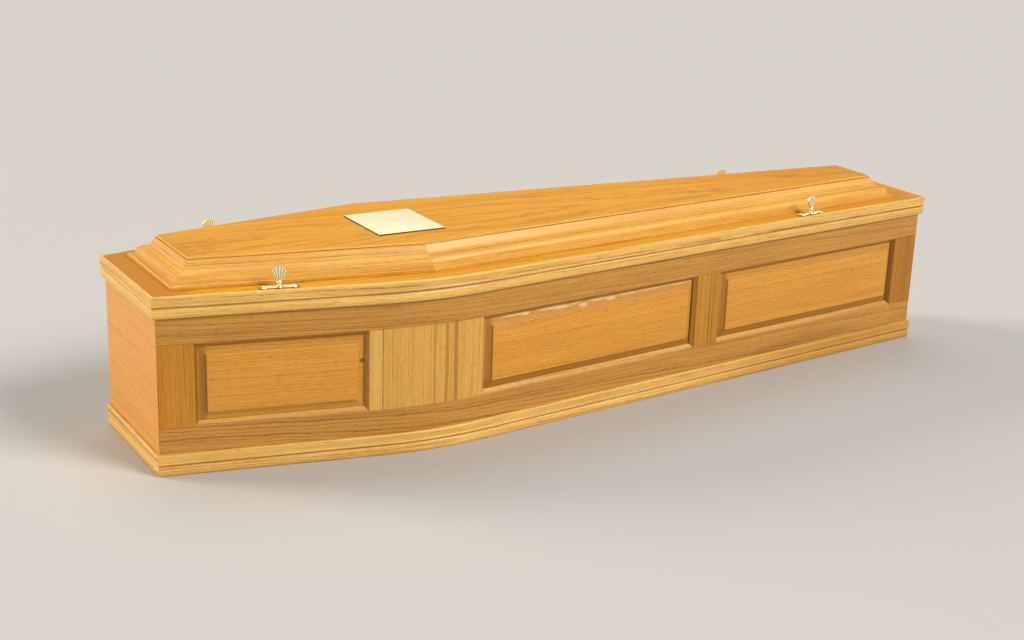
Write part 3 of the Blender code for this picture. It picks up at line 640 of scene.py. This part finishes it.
# The foot stile is browner than the head stile: painted shade, as the light falls off towards the foot
OUTER_STILE_OAK = oak(
    "satin_oak_outer_stile", light="CD8C20", dark="B77614", line="8A530B",
    painted_bevel_light_and_shade=("7A4909", "7A4909"), ring_mm=5.5, pith_mm=(-400, 30), tilt_mm=6.0,
    wave_mm=(3.0, 1.2, 0.5), fade=0.6, fibre=0.35, blotch=0.7,
    marks=(("A06008", 170, (FOOT_STILE_START + FOOT_STILE_WIDTH / 2) / MM, 900, 70, 0.50),),
)
STILE_OAK = oak(
    "satin_oak_stile", light="CF8F25", dark="B87917", line="774709", painted_bevel_light_and_shade=("BC832B", "BC832B"),
    ring_mm=8.5, pith_mm=(-400, 30), tilt_mm=3.0, wave_mm=(1.5, 0.8, 0.4),
    fade=0.3, fibre=0.35, blotch=0.6,
)
PANEL_LOOK = {
    "light": "E39F39", "dark": "D78D2A", "line": "B06C1C", "painted_bevel_light_and_shade": ("C08A34", "8E5C04"),
    "ring_mm": 4.4, "pith_mm": (-600, 80), "tilt_mm": 5.0, "wave_mm": (3.0, 2.2, 1.4),
    "fade": 0.5, "fibre": 0.35, "blotch": 0.5,
}
HEAD_PANEL_LOOK = {**PANEL_LOOK, "painted_bevel_light_and_shade": ("C08A34", "CE9A40")}
# The bevel at the head end of each opening is painted browner, across its whole 18 mm, as painted shade
HEAD_BEVEL_SHADE_MARKS = tuple(
    ("8E5218", start / MM + 18, 170, 11, 400, 0.55) for start, end in OPENINGS.values()
)
PANEL_OAK = oak("satin_oak_panel", **PANEL_LOOK, marks=HEAD_BEVEL_SHADE_MARKS)
KNOT_MARK = ("5A3410", OPENINGS["head"][1] / MM - 14, 197, 8, 6, 0.9)
KNOT_OAK = oak("satin_oak_panel_with_knot", **HEAD_PANEL_LOOK, marks=HEAD_BEVEL_SHADE_MARKS + (KNOT_MARK,))
# Painted highlights, glints along the top bevel: the share of the opening's length, mm down, length and
# breadth
TOP_BEVEL_GLINTS = (
    (0.06, 10, 40, 5), (0.14, 12, 50, 6), (0.19, 15, 16, 5), (0.29, 11, 44, 6),
    (0.35, 13, 36, 6), (0.42, 10, 20, 6), (0.45, 18, 16, 6), (0.52, 11, 40, 6),
    (0.58, 15, 20, 6), (0.66, 11, 46, 6), (0.78, 11, 60, 5), (0.92, 11, 60, 5),
)
GLINTS_START, GLINTS_END = OPENINGS["middle"]
GLINT_MARKS = tuple(
    ("F0D2A0", (GLINTS_START + share * (GLINTS_END - GLINTS_START)) / MM, OPENING_TOP / MM - down,
     length, breadth, 0.70)
    for share, down, length, breadth in TOP_BEVEL_GLINTS
)
GLINTING_PANEL_OAK = oak("satin_oak_panel_with_painted_glints", **PANEL_LOOK, marks=HEAD_BEVEL_SHADE_MARKS + GLINT_MARKS)
# Streaks up the shoulder: colour, mm from the start of the wide board, breadth and share
SHOULDER_STREAKS = (
    ("EDBE62", -14, 20, 0.55), ("7A4E16", 0, 2.6, 0.60), ("94621E", 110, 2.5, 0.45),
    ("94621E", 134, 4.0, 0.65), ("94621E", 155, 7.0, 0.70),
)
SHOULDER_OAK = oak(
    "satin_oak_shoulder", light="E3AC50", dark="D79E43", line="AC7728",
    painted_bevel_light_and_shade=("AC8135", "AC8135"), ring_mm=5.5, pith_mm=(-500, 30), tilt_mm=2.0,
    wave_mm=(1.5, 0.8, 0.4), fade=0.6, fibre=0.40, blotch=0.5,
    marks=tuple(
        (colour, OPENING_BOTTOM / MM + 80, SHOULDER_BOARD_START / MM + across, 900, breadth, share)
        for colour, across, breadth, share in SHOULDER_STREAKS
    ),
)
END_OAK = oak(
    "satin_oak_end", light="EBA43E", dark="E39834", line="CD8528", ring_mm=7.0,
    pith_mm=(-700, 60), tilt_mm=5.0, wave_mm=(5.0, 2.0, 0.8), fade=0.8, fibre=0.25, blotch=0.4,
)
# The planted mouldings are browner towards the foot end, along the plinth: painted shade, as the light
# falls off towards the foot
MOULDING_OAK = oak(
    "satin_oak_moulding", light="F6C76E", dark="E2B050", line="A8661E", ring_mm=4.5,
    pith_mm=(-300, 20), tilt_mm=9.0, wave_mm=(2.5, 1.5, 1.2), fade=0.8, fibre=0.60, blotch=0.8,
    marks=(("B87C1C", SIDE_LENGTH / MM, 0, 900, 110, 0.65),),
)
# The lid is browner on the ledge at its head end, and a little so towards the foot end
LID_OAK = oak(
    "satin_oak_lid", light="E6A327", dark="D99118", line="BE7C1E", ring_mm=4.6,
    pith_mm=(-20, 70), tilt_mm=14.0, wave_mm=(7.0, 2.0, 0.8), fade=0.6, fibre=0.50, blotch=0.5,
    marks=(("AE6C08", HEAD_END / MM + 5, 0, 105, 900, 0.70),
           ("D0800A", BODY_LENGTH / 2 / MM - 100, 0, 600, 900, 0.40)),
    lacquer=0.10,
)
RAISED_OAK = oak(
    "satin_oak_raised", light="F3BC56", dark="E5A33B", line="B06A16", ring_mm=5.5,
    pith_mm=(-350, 25), tilt_mm=8.0, wave_mm=(4.0, 2.0, 0.8), fade=0.6, fibre=0.60, blotch=0.8,
    crease_shade=0.3,
)
# The screws' near-white brass is partly painted highlight, standing in for reflections of the pale room
SCREW_BRASS = brass("polished_cast_brass", "FFFBD6", "F8EEB6", 0.20)
PLATE_FACE = brushed_plate("brushed_pale_plate", "FBF3D2", "F4E6B8", 0.30)
PLATE_EDGE = brass("dark_brass_edge_with_painted_shade", "5A3E22", "3C2814", 0.40)


# Kept boards: joined up again, with eased arrises, and finished

WELD_REACH = 0.00002
FLAT_WITHIN_DEGREES = 0.4
BOARD_ARRIS = 0.0007
ARRIS_FROM_DEGREES = 25
kept = {
    "base_board": (END_OAK, lengthwise_on_lid),
    "head_end_board": (END_OAK, across_the_end),
    "foot_end_board": (END_OAK, across_the_end),
    "lid_board": (LID_OAK, lengthwise_on_lid),
    "top_panel": (LID_OAK, lengthwise_on_lid),
}
side_boards = {
    "top_rail": (RAIL_OAK, lengthwise_on_side),
    "bottom_rail": (RAIL_OAK, lengthwise_on_side),
    "head_stile": (OUTER_STILE_OAK, upright_on_side),
    "middle_stile": (STILE_OAK, upright_on_side),
    "foot_stile": (OUTER_STILE_OAK, upright_on_side),
    "shoulder_strip": (SHOULDER_OAK, upright_on_side),
    "shoulder_board": (SHOULDER_OAK, upright_on_side),
}
for side in ("right", "left"):
    for part, finish in side_boards.items():
        kept[f"{side}_{part}"] = finish

for number, (name, (material, coordinates)) in enumerate(kept.items()):
    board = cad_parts[name]
    write_grain(board, coordinates, number)
    board.data.materials.clear()
    board.data.materials.append(material)
    if "custom_normal" in board.data.attributes:
        board.data.attributes.remove(board.data.attributes["custom_normal"])
    board.data.shade_smooth()
    joined = board.modifiers.new("joined", "WELD")
    joined.merge_threshold = WELD_REACH
    flats = board.modifiers.new("flats", "DECIMATE")
    flats.decimate_type = "DISSOLVE"
    flats.angle_limit = math.radians(FLAT_WITHIN_DEGREES)
    eased = board.modifiers.new("eased", "BEVEL")
    eased.width = BOARD_ARRIS
    eased.segments = 2
    eased.limit_method = "ANGLE"
    eased.angle_limit = math.radians(ARRIS_FROM_DEGREES)
    lit = board.modifiers.new("lit", "WEIGHTED_NORMAL")
    lit.weight = 100


# Raised and fielded panels

def fielded_panel(side, part, place, number):
    """A panel with a tongue all round, wide bevels and a raised field with rounded arrises."""
    left, right = OPENINGS[part]
    edge_depth = PANEL_FIELD_SETBACK + PANEL_BEVEL_HEIGHT
    tongue = FRAME_CHAMFER_WIDTH - TONGUE_LENGTH
    field = FRAME_CHAMFER_WIDTH + PANEL_BEVEL_WIDTH
    layers = [
        (edge_depth + TONGUE_THICKNESS, tongue),
        (edge_depth, tongue),
        (edge_depth, FRAME_CHAMFER_WIDTH),
    ]
    rise = PANEL_BEVEL_HEIGHT - PANEL_ARRIS
    for sideways, forwards in arc_points((0, 0), (PANEL_ARRIS, PANEL_ARRIS), 180, 90, steps=6):
        layers.append((edge_depth - rise - forwards, field + sideways))
    stations = round((right - left) / PANEL_STATION_STEP)
    rings = []
    for depth, inset in layers:
        low, high = OPENING_BOTTOM + inset, OPENING_TOP - inset
        length = right - left - 2 * inset
        spots = [left + inset + length * step / stations for step in range(stations + 1)]
        ring = [(along, depth, low) for along in spots]
        rings.append(ring + [(along, depth, high) for along in reversed(spots)])
    mesh_edit = bmesh.new()
    loft_into(mesh_edit, rings, place, ladder_ends=True)
    material = {"right_head": KNOT_OAK, "right_middle": GLINTING_PANEL_OAK}.get(f"{side}_{part}", PANEL_OAK)
    piece = new_piece(f"{side}_{part}_fielded_panel", mesh_edit, material, "panel_oak",
                      [f"{side}_{part}_panel"])
    write_grain(piece, lengthwise_on_side, number)


SIDES = {"right": on_side(1), "left": on_side(-1)}
panels = [(side, part) for side in SIDES for part in OPENINGS]
for number, (side, part) in enumerate(panels, 3):
    fielded_panel(side, part, SIDES[side], number)


# Mouldings

def planted_profile():
    """The planted moulding's section as (out, up), from its foot to its rounded top."""
    out = MOULDING_THICKNESS
    torus_out = out - MOULDING_TORUS_SETBACK
    bead_out = out - MOULDING_BEAD_SETBACK
    round_middle = (out - MOULDING_ROUND_OVER, MOULDING_HEIGHT - MOULDING_ROUND_OVER)
    section = [(0.0, 0.0), (torus_out, 0.0)]
    section += arc_points((torus_out, MOULDING_TORUS[1]), MOULDING_TORUS, *MOULDING_TORUS_ANGLES, 14)
    section += [(out - MOULDING_GROOVE_DEPTH, MOULDING_GROOVE_HEIGHT)]
    section += [(bead_out, MOULDING_BEAD_MIDDLE - MOULDING_BEAD[1])]
    section += arc_points((bead_out, MOULDING_BEAD_MIDDLE), MOULDING_BEAD, *MOULDING_BEAD_ANGLES, 8)
    section += [(out - MOULDING_FACE_SETBACK, MOULDING_FACE_START)]
    section += arc_points(round_middle, (MOULDING_ROUND_OVER, MOULDING_ROUND_OVER), 0, 90, 8)
    section += [(0.0, MOULDING_HEIGHT)]
    return section


def curve_points(start, start_pull, end_pull, end, steps):
    """Points on a cubic curve that leaves its start and reaches its end by two pulls."""
    points = []
    for step in range(steps + 1):
        share = step / steps
        rest = 1 - share
        weights = (rest**3, 3 * rest * rest * share, 3 * rest * share * share, share**3)
        corners = (start, start_pull, end_pull, end)
        points.append(tuple(sum(w * c[axis] for w, c in zip(weights, corners)) for axis in (0, 1)))
    return points


def raised_section():
    """The raised moulding's section as (depth, height), from the ledge up to the top panel."""
    width, top = RAISED_MOULDING_WIDTH, RAISED_HEIGHT
    hollow_end = (RAISED_LOWER_HOLLOW[0], RAISED_FILLET + RAISED_LOWER_HOLLOW[1])
    round_middle = (hollow_end[0] + RAISED_ROUND[0], hollow_end[1])
    round_top = hollow_end[1] + RAISED_ROUND[1]
    slope_end = (round_middle[0] + RAISED_SLOPE[0], round_top + RAISED_SLOPE[1])
    foot_pull = (slope_end[0] + OGEE_FOOT_PULL[0], slope_end[1] + OGEE_FOOT_PULL[1])
    top_pull = (width - OGEE_TOP_PULL[0], top - OGEE_TOP_PULL[1])
    section = [(0.0, 0.0), (0.0, RAISED_FILLET)]
    section += arc_points((0.0, hollow_end[1]), RAISED_LOWER_HOLLOW, *RAISED_HOLLOW_ANGLES, 8)
    section += [(hollow_end[0], hollow_end[1] + RAISED_QUIRK)]
    section += arc_points(round_middle, RAISED_ROUND, *RAISED_ROUND_ANGLES, 12)
    quirk = (round_middle[0] + RAISED_QUIRK, round_top - ROUND_QUIRK_DROP)
    slope_foot = tuple(low + (high - low) * RAISED_SLOPE_START for low, high in zip(quirk, slope_end))
    ogee = curve_points(slope_end, foot_pull, top_pull, (width, top), OGEE_STEPS)
    depth, height = ogee[OGEE_QUIRK_STEP]
    section += [quirk, slope_foot] + ogee[:OGEE_QUIRK_STEP]
    section += [(depth + RAISED_QUIRK, height - OGEE_QUIRK_DROP)] + ogee[OGEE_QUIRK_STEP + 1:]
    rebate_floor = top - TOP_PANEL_THICKNESS - FIT_GAP
    rebate_end = width + RAISED_MOULDING_REBATE
    return section + [(width, rebate_floor), (rebate_end, rebate_floor), (rebate_end, 0.0)]


def folds(section):
    """How sharply a closed section folds inwards at each of its points, from 0 to 1."""
    turns = []
    for number, here in enumerate(section):
        arriving = Vector(here) - Vector(section[number - 1])
        leaving = Vector(section[(number + 1) % len(section)]) - Vector(here)
        turns.append(math.atan2(arriving.cross(leaving), arriving.dot(leaving)))
    way_round = math.copysign(1, sum(turns))
    return [min(max(-way_round * turn / math.radians(FULL_FOLD_DEGREES), 0.0), 1.0) for turn in turns]


def moulding_run(name, node, length, slopes, section, place, finish, coordinates, number, bent=False):
    """A length of moulding, mitred at both ends and carried round the shoulder if it is bent."""
    gaps = [FIT_GAP / 2 * math.hypot(1, slope) for slope in slopes]
    near, back = [max(slope * depth for depth, _ in section) + gap for slope, gap in zip(slopes, gaps)]
    stops = [near + (length - near - back) * step / MOULDING_PARTS for step in range(1, MOULDING_PARTS)]
    if bent:
        bend = [BEND_START + (BEND_END - BEND_START) * step / BEND_STEPS
                for step in range(BEND_STEPS + 1)]
        stops = sorted([stop for stop in stops if not BEND_START < stop < BEND_END] + bend)
    rings = [[(slopes[0] * depth + gaps[0], depth, height) for depth, height in section]]
    rings += [[(stop, depth, height) for depth, height in section] for stop in stops]
    rings += [[(length - slopes[1] * depth - gaps[1], depth, height) for depth, height in section]]
    mesh_edit = bmesh.new()
    # Painted shade in the inner corners, as much as the section folds there
    painted_shade = mesh_edit.verts.layers.float.new("painted_shade")
    creases = folds(section)
    for loop in loft_into(mesh_edit, rings, place):
        for vertex, crease_shade in zip(loop, creases):
            vertex[painted_shade] = crease_shade
    material, slot_name = finish
    piece = new_piece(name, mesh_edit, material, slot_name, [node])
    write_grain(piece, coordinates, number)


def planted_mouldings(node, back_depth, base_height, number):
    """All four lengths of the plinth or of the lid edge."""
    section = [(back_depth - out, base_height + up) for out, up in planted_profile()]
    finish = (MOULDING_OAK, "moulding_oak")
    for side, place in SIDES.items():
        moulding_run(f"{node}_{side}_run", f"{node}_{side}", SIDE_LENGTH, (HEAD_MITRE, FOOT_MITRE),
                     section, place, finish, lengthwise_on_side, number, bent=True)
        number += 1
    for end, start, stop, slope in (("head", 5, 0, HEAD_MITRE), ("foot", 2, 3, FOOT_MITRE)):
        length = (CORNERS[stop] - CORNERS[start]).length
        moulding_run(f"{node}_{end}_run", f"{node}_{end}", length, (slope, slope), section,
                     on_edge(CORNERS[start], CORNERS[stop]), finish, across_the_end, number)
        number += 1


planted_mouldings("plinth_moulding", -FIT_GAP, 0.0, 1)
planted_mouldings("lid_edge_moulding", LID_MOULDING_BACK, LID_TOP - MOULDING_HEIGHT, 6)


def raised_corners():
    """The raised moulding's outer corners on the lid, each as far in as its ledge."""
    side = SIDE_LEDGE - LID_EDGE_OUT
    head = HEAD_LEDGE - LID_EDGE_OUT
    foot = FOOT_LEDGE - LID_EDGE_OUT
    corners = inset_outline(CORNERS, [side, side, foot, side, side, head])
    shoulder = inset_outline(CORNERS, [SHOULDER_LEDGE - LID_EDGE_OUT] * 6)[1]
    corners[1] = Vector((shoulder.x + RAISED_SHOULDER_SHIFT, shoulder.y))
    corners[4] = Vector((corners[1].x, -corners[1].y))
    return corners


raised_plan = raised_corners()
raised_slopes = mitre_slopes(raised_plan)
raised_directions = edge_directions(raised_plan)
lifted_section = [(depth, RAISED_BASE + height) for depth, height in raised_section()]
for number, run in enumerate(("head_right", "foot_right", "foot", "foot_left", "head_left", "head")):
    after = (number + 1) % len(raised_plan)
    start, end = raised_plan[number], raised_plan[after]
    moulding_run(f"raised_moulding_{run}_run", f"raised_moulding_{run}", (end - start).length,
                 (raised_slopes[number], raised_slopes[after]), lifted_section, on_edge(start, end),
                 (RAISED_OAK, "raised_oak"), along_edge(start, raised_directions[number]), number + 2)


# Name plate: bare, with an eased rim; its pale face is partly a painted reflection of the pale room, and
# its dark edge partly painted shade

plate_edit = bmesh.new()
plate_middle = (PLATE_FROM_HEAD - BODY_LENGTH / 2, -PLATE_TOWARDS_RIGHT)
plate_half = (PLATE_LENGTH / 2 - PLATE_CORNER_RADIUS, PLATE_WIDTH / 2 - PLATE_CORNER_RADIUS)
plate_low = RAISED_TOP + FIT_GAP
plate_rings = []
rim_middle = (PLATE_EASING, PLATE_THICKNESS - PLATE_EASING)
for inset, height in [(0.0, 0.0)] + arc_points(rim_middle, (PLATE_EASING, PLATE_EASING), 180, 90, 3):
    ring = []
    for quarter, (right, up) in enumerate([(1, 1), (-1, 1), (-1, -1), (1, -1)]):
        centre = (plate_middle[0] + right * plate_half[0], plate_middle[1] + up * plate_half[1])
        radius = PLATE_CORNER_RADIUS - inset
        ring += arc_points(centre, (radius, radius), 90 * quarter, 90 * quarter + 90, 6)
    plate_rings.append([(x, y, plate_low + height) for x, y in ring])
loft_into(plate_edit, plate_rings)
plate = new_piece("bare_name_plate", plate_edit, PLATE_FACE, "name_plate", ["name_plate"])
plate.data.materials.append(PLATE_EDGE)
for face in plate.data.polygons:
    face.material_index = 0 if face.normal.z > 0.5 else 1


# Lid screws and their scrolled plates

def tube_into(mesh_edit, path, radii, place, around=10):
    """A round bar along a path in the plate's plane, closed at both ends."""
    rings = []
    for number, (x, y, z) in enumerate(path):
        before = Vector(path[max(number - 1, 0)])
        after = Vector(path[min(number + 1, len(path) - 1)])
        heading = (after - before).normalized()
        side = heading.cross(Vector((0, 0, 1))).normalized()
        rise = side.cross(heading)
        radius = radii[number]
        ring = []
        for step in range(around):
            angle = 2 * math.pi * step / around
            spoke = side * math.cos(angle) + rise * math.sin(angle)
            ring.append(Vector((x, y, z)) + spoke * radius)
        rings.append(ring)
    loft_into(mesh_edit, rings, place)


def circle_points(radii, count):
    return arc_points((0, 0), radii, 0, 360 - 360 / count, count - 1)


def scroll_path(end, bank, height):
    """A scroll from the boss out along the bar to a curl, as a plate's end is cast."""
    path = []
    for step in range(SCROLL_BAR_STEPS + 1):
        share = step / SCROLL_BAR_STEPS
        along = SCROLL_START + (SCROLL_BAR_END - SCROLL_START) * share
        across = SCROLL_SWING * (1 + math.sin(math.pi * share))
        path.append((end * along, bank * across, height))
    first, last = SCROLL_CURL_ANGLES
    for step in range(1, SCROLL_CURL_STEPS + 1):
        share = step / SCROLL_CURL_STEPS
        angle = math.radians(first + (last - first) * share)
        radius = SCROLL_CURL_RADIUS * (1 - SCROLL_CURL_SHRINK * share)
        along = SCROLL_CURL_MIDDLE[0] + radius * math.cos(angle)
        across = SCROLL_CURL_MIDDLE[1] - radius * math.sin(angle)
        path.append((end * along, bank * across, height))
    return path


def plate_half_width(share):
    """Half the cast plate's width at a share of the way from its middle to its tip."""
    half = PLATE_BAR_HALF
    for rise, middle, reach, power in PLATE_SWELLS:
        away = min(abs(share - middle) / reach, 1)
        half += rise * max(math.cos(math.pi / 2 * away), 0) ** power
    return half


def screw_plate(name, node, place, base):
    """A cast plate: a domed boss, a bar with leaves painted dark as a painted dark reflection, and two
    bright scrolls at each end.
    """
    mesh_edit = bmesh.new()
    painted_shade = mesh_edit.verts.layers.float.new("painted_shade")
    steps = 40
    rings = []
    for height, narrowed in PLATE_LAYERS:
        outline = []
        for step in range(-steps, steps + 1):
            half = plate_half_width(abs(step) / steps) * narrowed
            outline.append((step / steps * SCREW_PLATE_LENGTH / 2, half))
        outline += [(along, -half) for along, half in reversed(outline)]
        rings.append([(along, across, base + height) for along, across in outline])
    # The plate's base is painted dark: a painted dark reflection under the bright scrolls
    for loop in loft_into(mesh_edit, rings, place):
        for vertex in loop:
            vertex[painted_shade] = PLATE_BASE_PAINTED_SHADE
    rings = []
    for radius, height in BOSS_RINGS:
        circle = circle_points((radius, radius * BOSS_NARROWED), 24)
        rings.append([(along, across, base + height) for along, across in circle])
    loft_into(mesh_edit, rings, place)
    for end in (-1, 1):
        for bank in (-1, 1):
            path = scroll_path(end, bank, base + SCROLL_LIFT)
            radii = [SCROLL_WIRE_RADIUS * (1 - SCROLL_WIRE_TAPER * step / len(path))
                     for step in range(len(path))]
            tube_into(mesh_edit, path, radii, place)
    new_piece(name, mesh_edit, SCREW_BRASS, "screw_brass", [node], sharp_degrees=40)


def fan_point(u, share, root, reach_full):
    """The front of the fan: u from side to side, share from its root to its rim.

    Gives the distance from the middle, half the thickness, the height, and how much painted
    shade it takes between two ribs.
    """
    ridge = abs(math.cos(math.pi * SHELL_FLUTES / 2 * u)) ** FAN_RIB_POWER
    lean = math.atan((SHELL_WIDTH / 2 - FAN_NECK) / SHELL_HEIGHT * FAN_SPREAD) * u
    reach = reach_full * (1 - FAN_CORNER_DROP * u * u) - FAN_NOTCH * (1 - ridge) * share
    start, rise, power = FAN_SWELL
    swell = math.sin(math.pi * (start + share * rise)) ** power
    rib = (SHELL_THICKNESS / 2 - FAN_RIM) * ridge * swell
    thick = (FAN_RIM + rib) * (1 - FAN_SIDE_THINNING * abs(u))
    out = FAN_NECK * u * (1 - FAN_NECK_NARROWING * share) + math.tan(lean) * reach * share
    return out, thick, root + reach * share, max(1 - FAN_GAP_PAINTED_SHADE * ridge, 0) ** 0.5


def lid_screw(name, node, place, base):
    """A turned stem with a collar and a ball, under a fan of five ribs with painted shade in the gaps
    between them.
    """
    mesh_edit = bmesh.new()
    painted_shade = mesh_edit.verts.layers.float.new("painted_shade")
    stem = SCREW_HEIGHT - SHELL_HEIGHT
    rings = []
    for share, radius in STEM_RINGS:
        rings.append([(x, y, base + stem * share) for x, y in circle_points((radius, radius), 28)])
    loft_into(mesh_edit, rings, place)
    across, levels = 50, 16
    root = base + stem - FAN_SUNK
    reach_full = base + SCREW_HEIGHT - root
    rings, shades = [], []
    for level in range(levels + 1):
        points = [fan_point(step / across, level / levels, root, reach_full)
                  for step in range(-across, across + 1)]
        front = [(x, thick, z) for x, thick, z, shade in points]
        back = [(x, -thick, z) for x, thick, z, shade in reversed(points)]
        rings.append(front + back)
        shade_row = [shade for x, thick, z, shade in points]
        shades.append(shade_row + shade_row[::-1])
    for loop, shade_row in zip(loft_into(mesh_edit, rings, place, ladder_ends=True), shades):
        for vertex, shade in zip(loop, shade_row):
            vertex[painted_shade] = shade
    new_piece(name, mesh_edit, SCREW_BRASS, "screw_brass", [node], sharp_degrees=45)


for side, sign, places, from_edge in (
    ("right", 1, RIGHT_SCREWS_FROM_HEAD, RIGHT_SCREWS_FROM_EDGE),
    ("left", -1, LEFT_SCREWS_FROM_HEAD, LEFT_SCREWS_FROM_EDGE),
):
    for where, from_head, edge in zip(("head", "foot"), places, (0, 1)):
        direction = (FIRST_DIRECTION, SECOND_DIRECTION)[edge]
        inward = inward_normal(direction)
        foot = CORNERS[edge] + inward * (from_edge - LID_EDGE_OUT)
        middle = foot + direction * ((from_head - BODY_LENGTH / 2 - foot.x) / direction.x)

        def screw_place(point, middle=middle, direction=direction, inward=inward, sign=sign):
            plan = middle + direction * point[0] + inward * point[1]
            return Vector((plan.x, sign * plan.y, point[2]))

        plate_base = LID_TOP + FIT_GAP
        screw_plate(f"scrolled_plate_{where}_{side}", f"screw_plate_{where}_{side}", screw_place,
                    plate_base)
        lid_screw(f"shell_screw_{where}_{side}", f"lid_screw_{where}_{side}", screw_place,
                  plate_base + SCREW_PLATE_THICKNESS + FIT_GAP)


# Pale studio floor: matt paint, which gives soft light back and no gloss

FLOOR_REACH = 30
FLOOR_DROP = 0.0005
floor_mesh = bpy.data.meshes.new("studio_floor")
floor_corners = [(x * FLOOR_REACH, y * FLOOR_REACH, 0) for x, y in ((-1, -1), (1, -1), (1, 1), (-1, 1))]
floor_mesh.from_pydata(floor_corners, [], [(0, 1, 2, 3)])
floor = bpy.data.objects.new("studio_floor", floor_mesh)
floor.location.z = -FLOOR_DROP
scene.collection.objects.link(floor)
floor_paint, _, floor_shader = bare_material("matt_pale_floor")
floor_shader.inputs["Base Color"].default_value = linear("BFBEBD")
floor_shader.inputs["Roughness"].default_value = 0.7
floor_mesh.materials.append(floor_paint)


# Light: a pale room, a broad key over the foot's side, one overhead, one at the head end

world = bpy.data.worlds.new("pale_room")
world.use_nodes = True
world.node_tree.nodes["Background"].inputs["Color"].default_value = linear("F2F1EE")
world.node_tree.nodes["Background"].inputs["Strength"].default_value = 0.30
scene.world = world


def broad_light(name, towards, spread_degrees, strength, tint):
    """Even light over the whole floor, from one direction, with soft shadows."""
    lamp = bpy.data.lights.new(name, "SUN")
    lamp.angle = math.radians(spread_degrees)
    lamp.energy = strength
    lamp.color = linear(tint)[:3]
    item = bpy.data.objects.new(name, lamp)
    item.rotation_mode = "QUATERNION"
    item.rotation_quaternion = Vector(towards).to_track_quat("Z", "Y")
    scene.collection.objects.link(item)


broad_light("key_light", (0.44, -0.66, 0.61), 26, 2.7, "FFFBF4")
broad_light("top_light", (0.10, 0.42, 0.90), 40, 0.80, "FFFDF8")
broad_light("head_end_light", (-0.70, 0.62, 0.36), 24, 2.7, "FFF2DC")


# Camera solved from the photographed corners: 57.5 mm on a 36 mm wide frame

CAMERA_PLACE = Vector((-1.8816, -2.9399, 1.2689))
FOCAL_PIXELS = 1635.4
FRAME_PIXELS = 1024
YAW, PITCH, ROLL = (math.radians(value) for value in (31.144, -18.024, -2.017))
forward = Vector((math.sin(YAW) * math.cos(PITCH), math.cos(YAW) * math.cos(PITCH), math.sin(PITCH)))
level = forward.cross(Vector((0, 0, 1))).normalized()
plumb = forward.cross(level)
right = level * math.cos(ROLL) + plumb * math.sin(ROLL)
down = plumb * math.cos(ROLL) - level * math.sin(ROLL)
lens = bpy.data.cameras.new("studio_camera")
lens.sensor_width = 36.0
lens.lens = FOCAL_PIXELS / FRAME_PIXELS * lens.sensor_width
lens.clip_start, lens.clip_end = 0.05, 100.0
camera = bpy.data.objects.new("studio_camera", lens)
camera.matrix_world = Matrix((
    (right.x, -down.x, -forward.x, CAMERA_PLACE.x),
    (right.y, -down.y, -forward.y, CAMERA_PLACE.y),
    (right.z, -down.z, -forward.z, CAMERA_PLACE.z),
    (0, 0, 0, 1),
))
scene.collection.objects.link(camera)
scene.camera = camera
scene.view_settings.view_transform = "Standard"
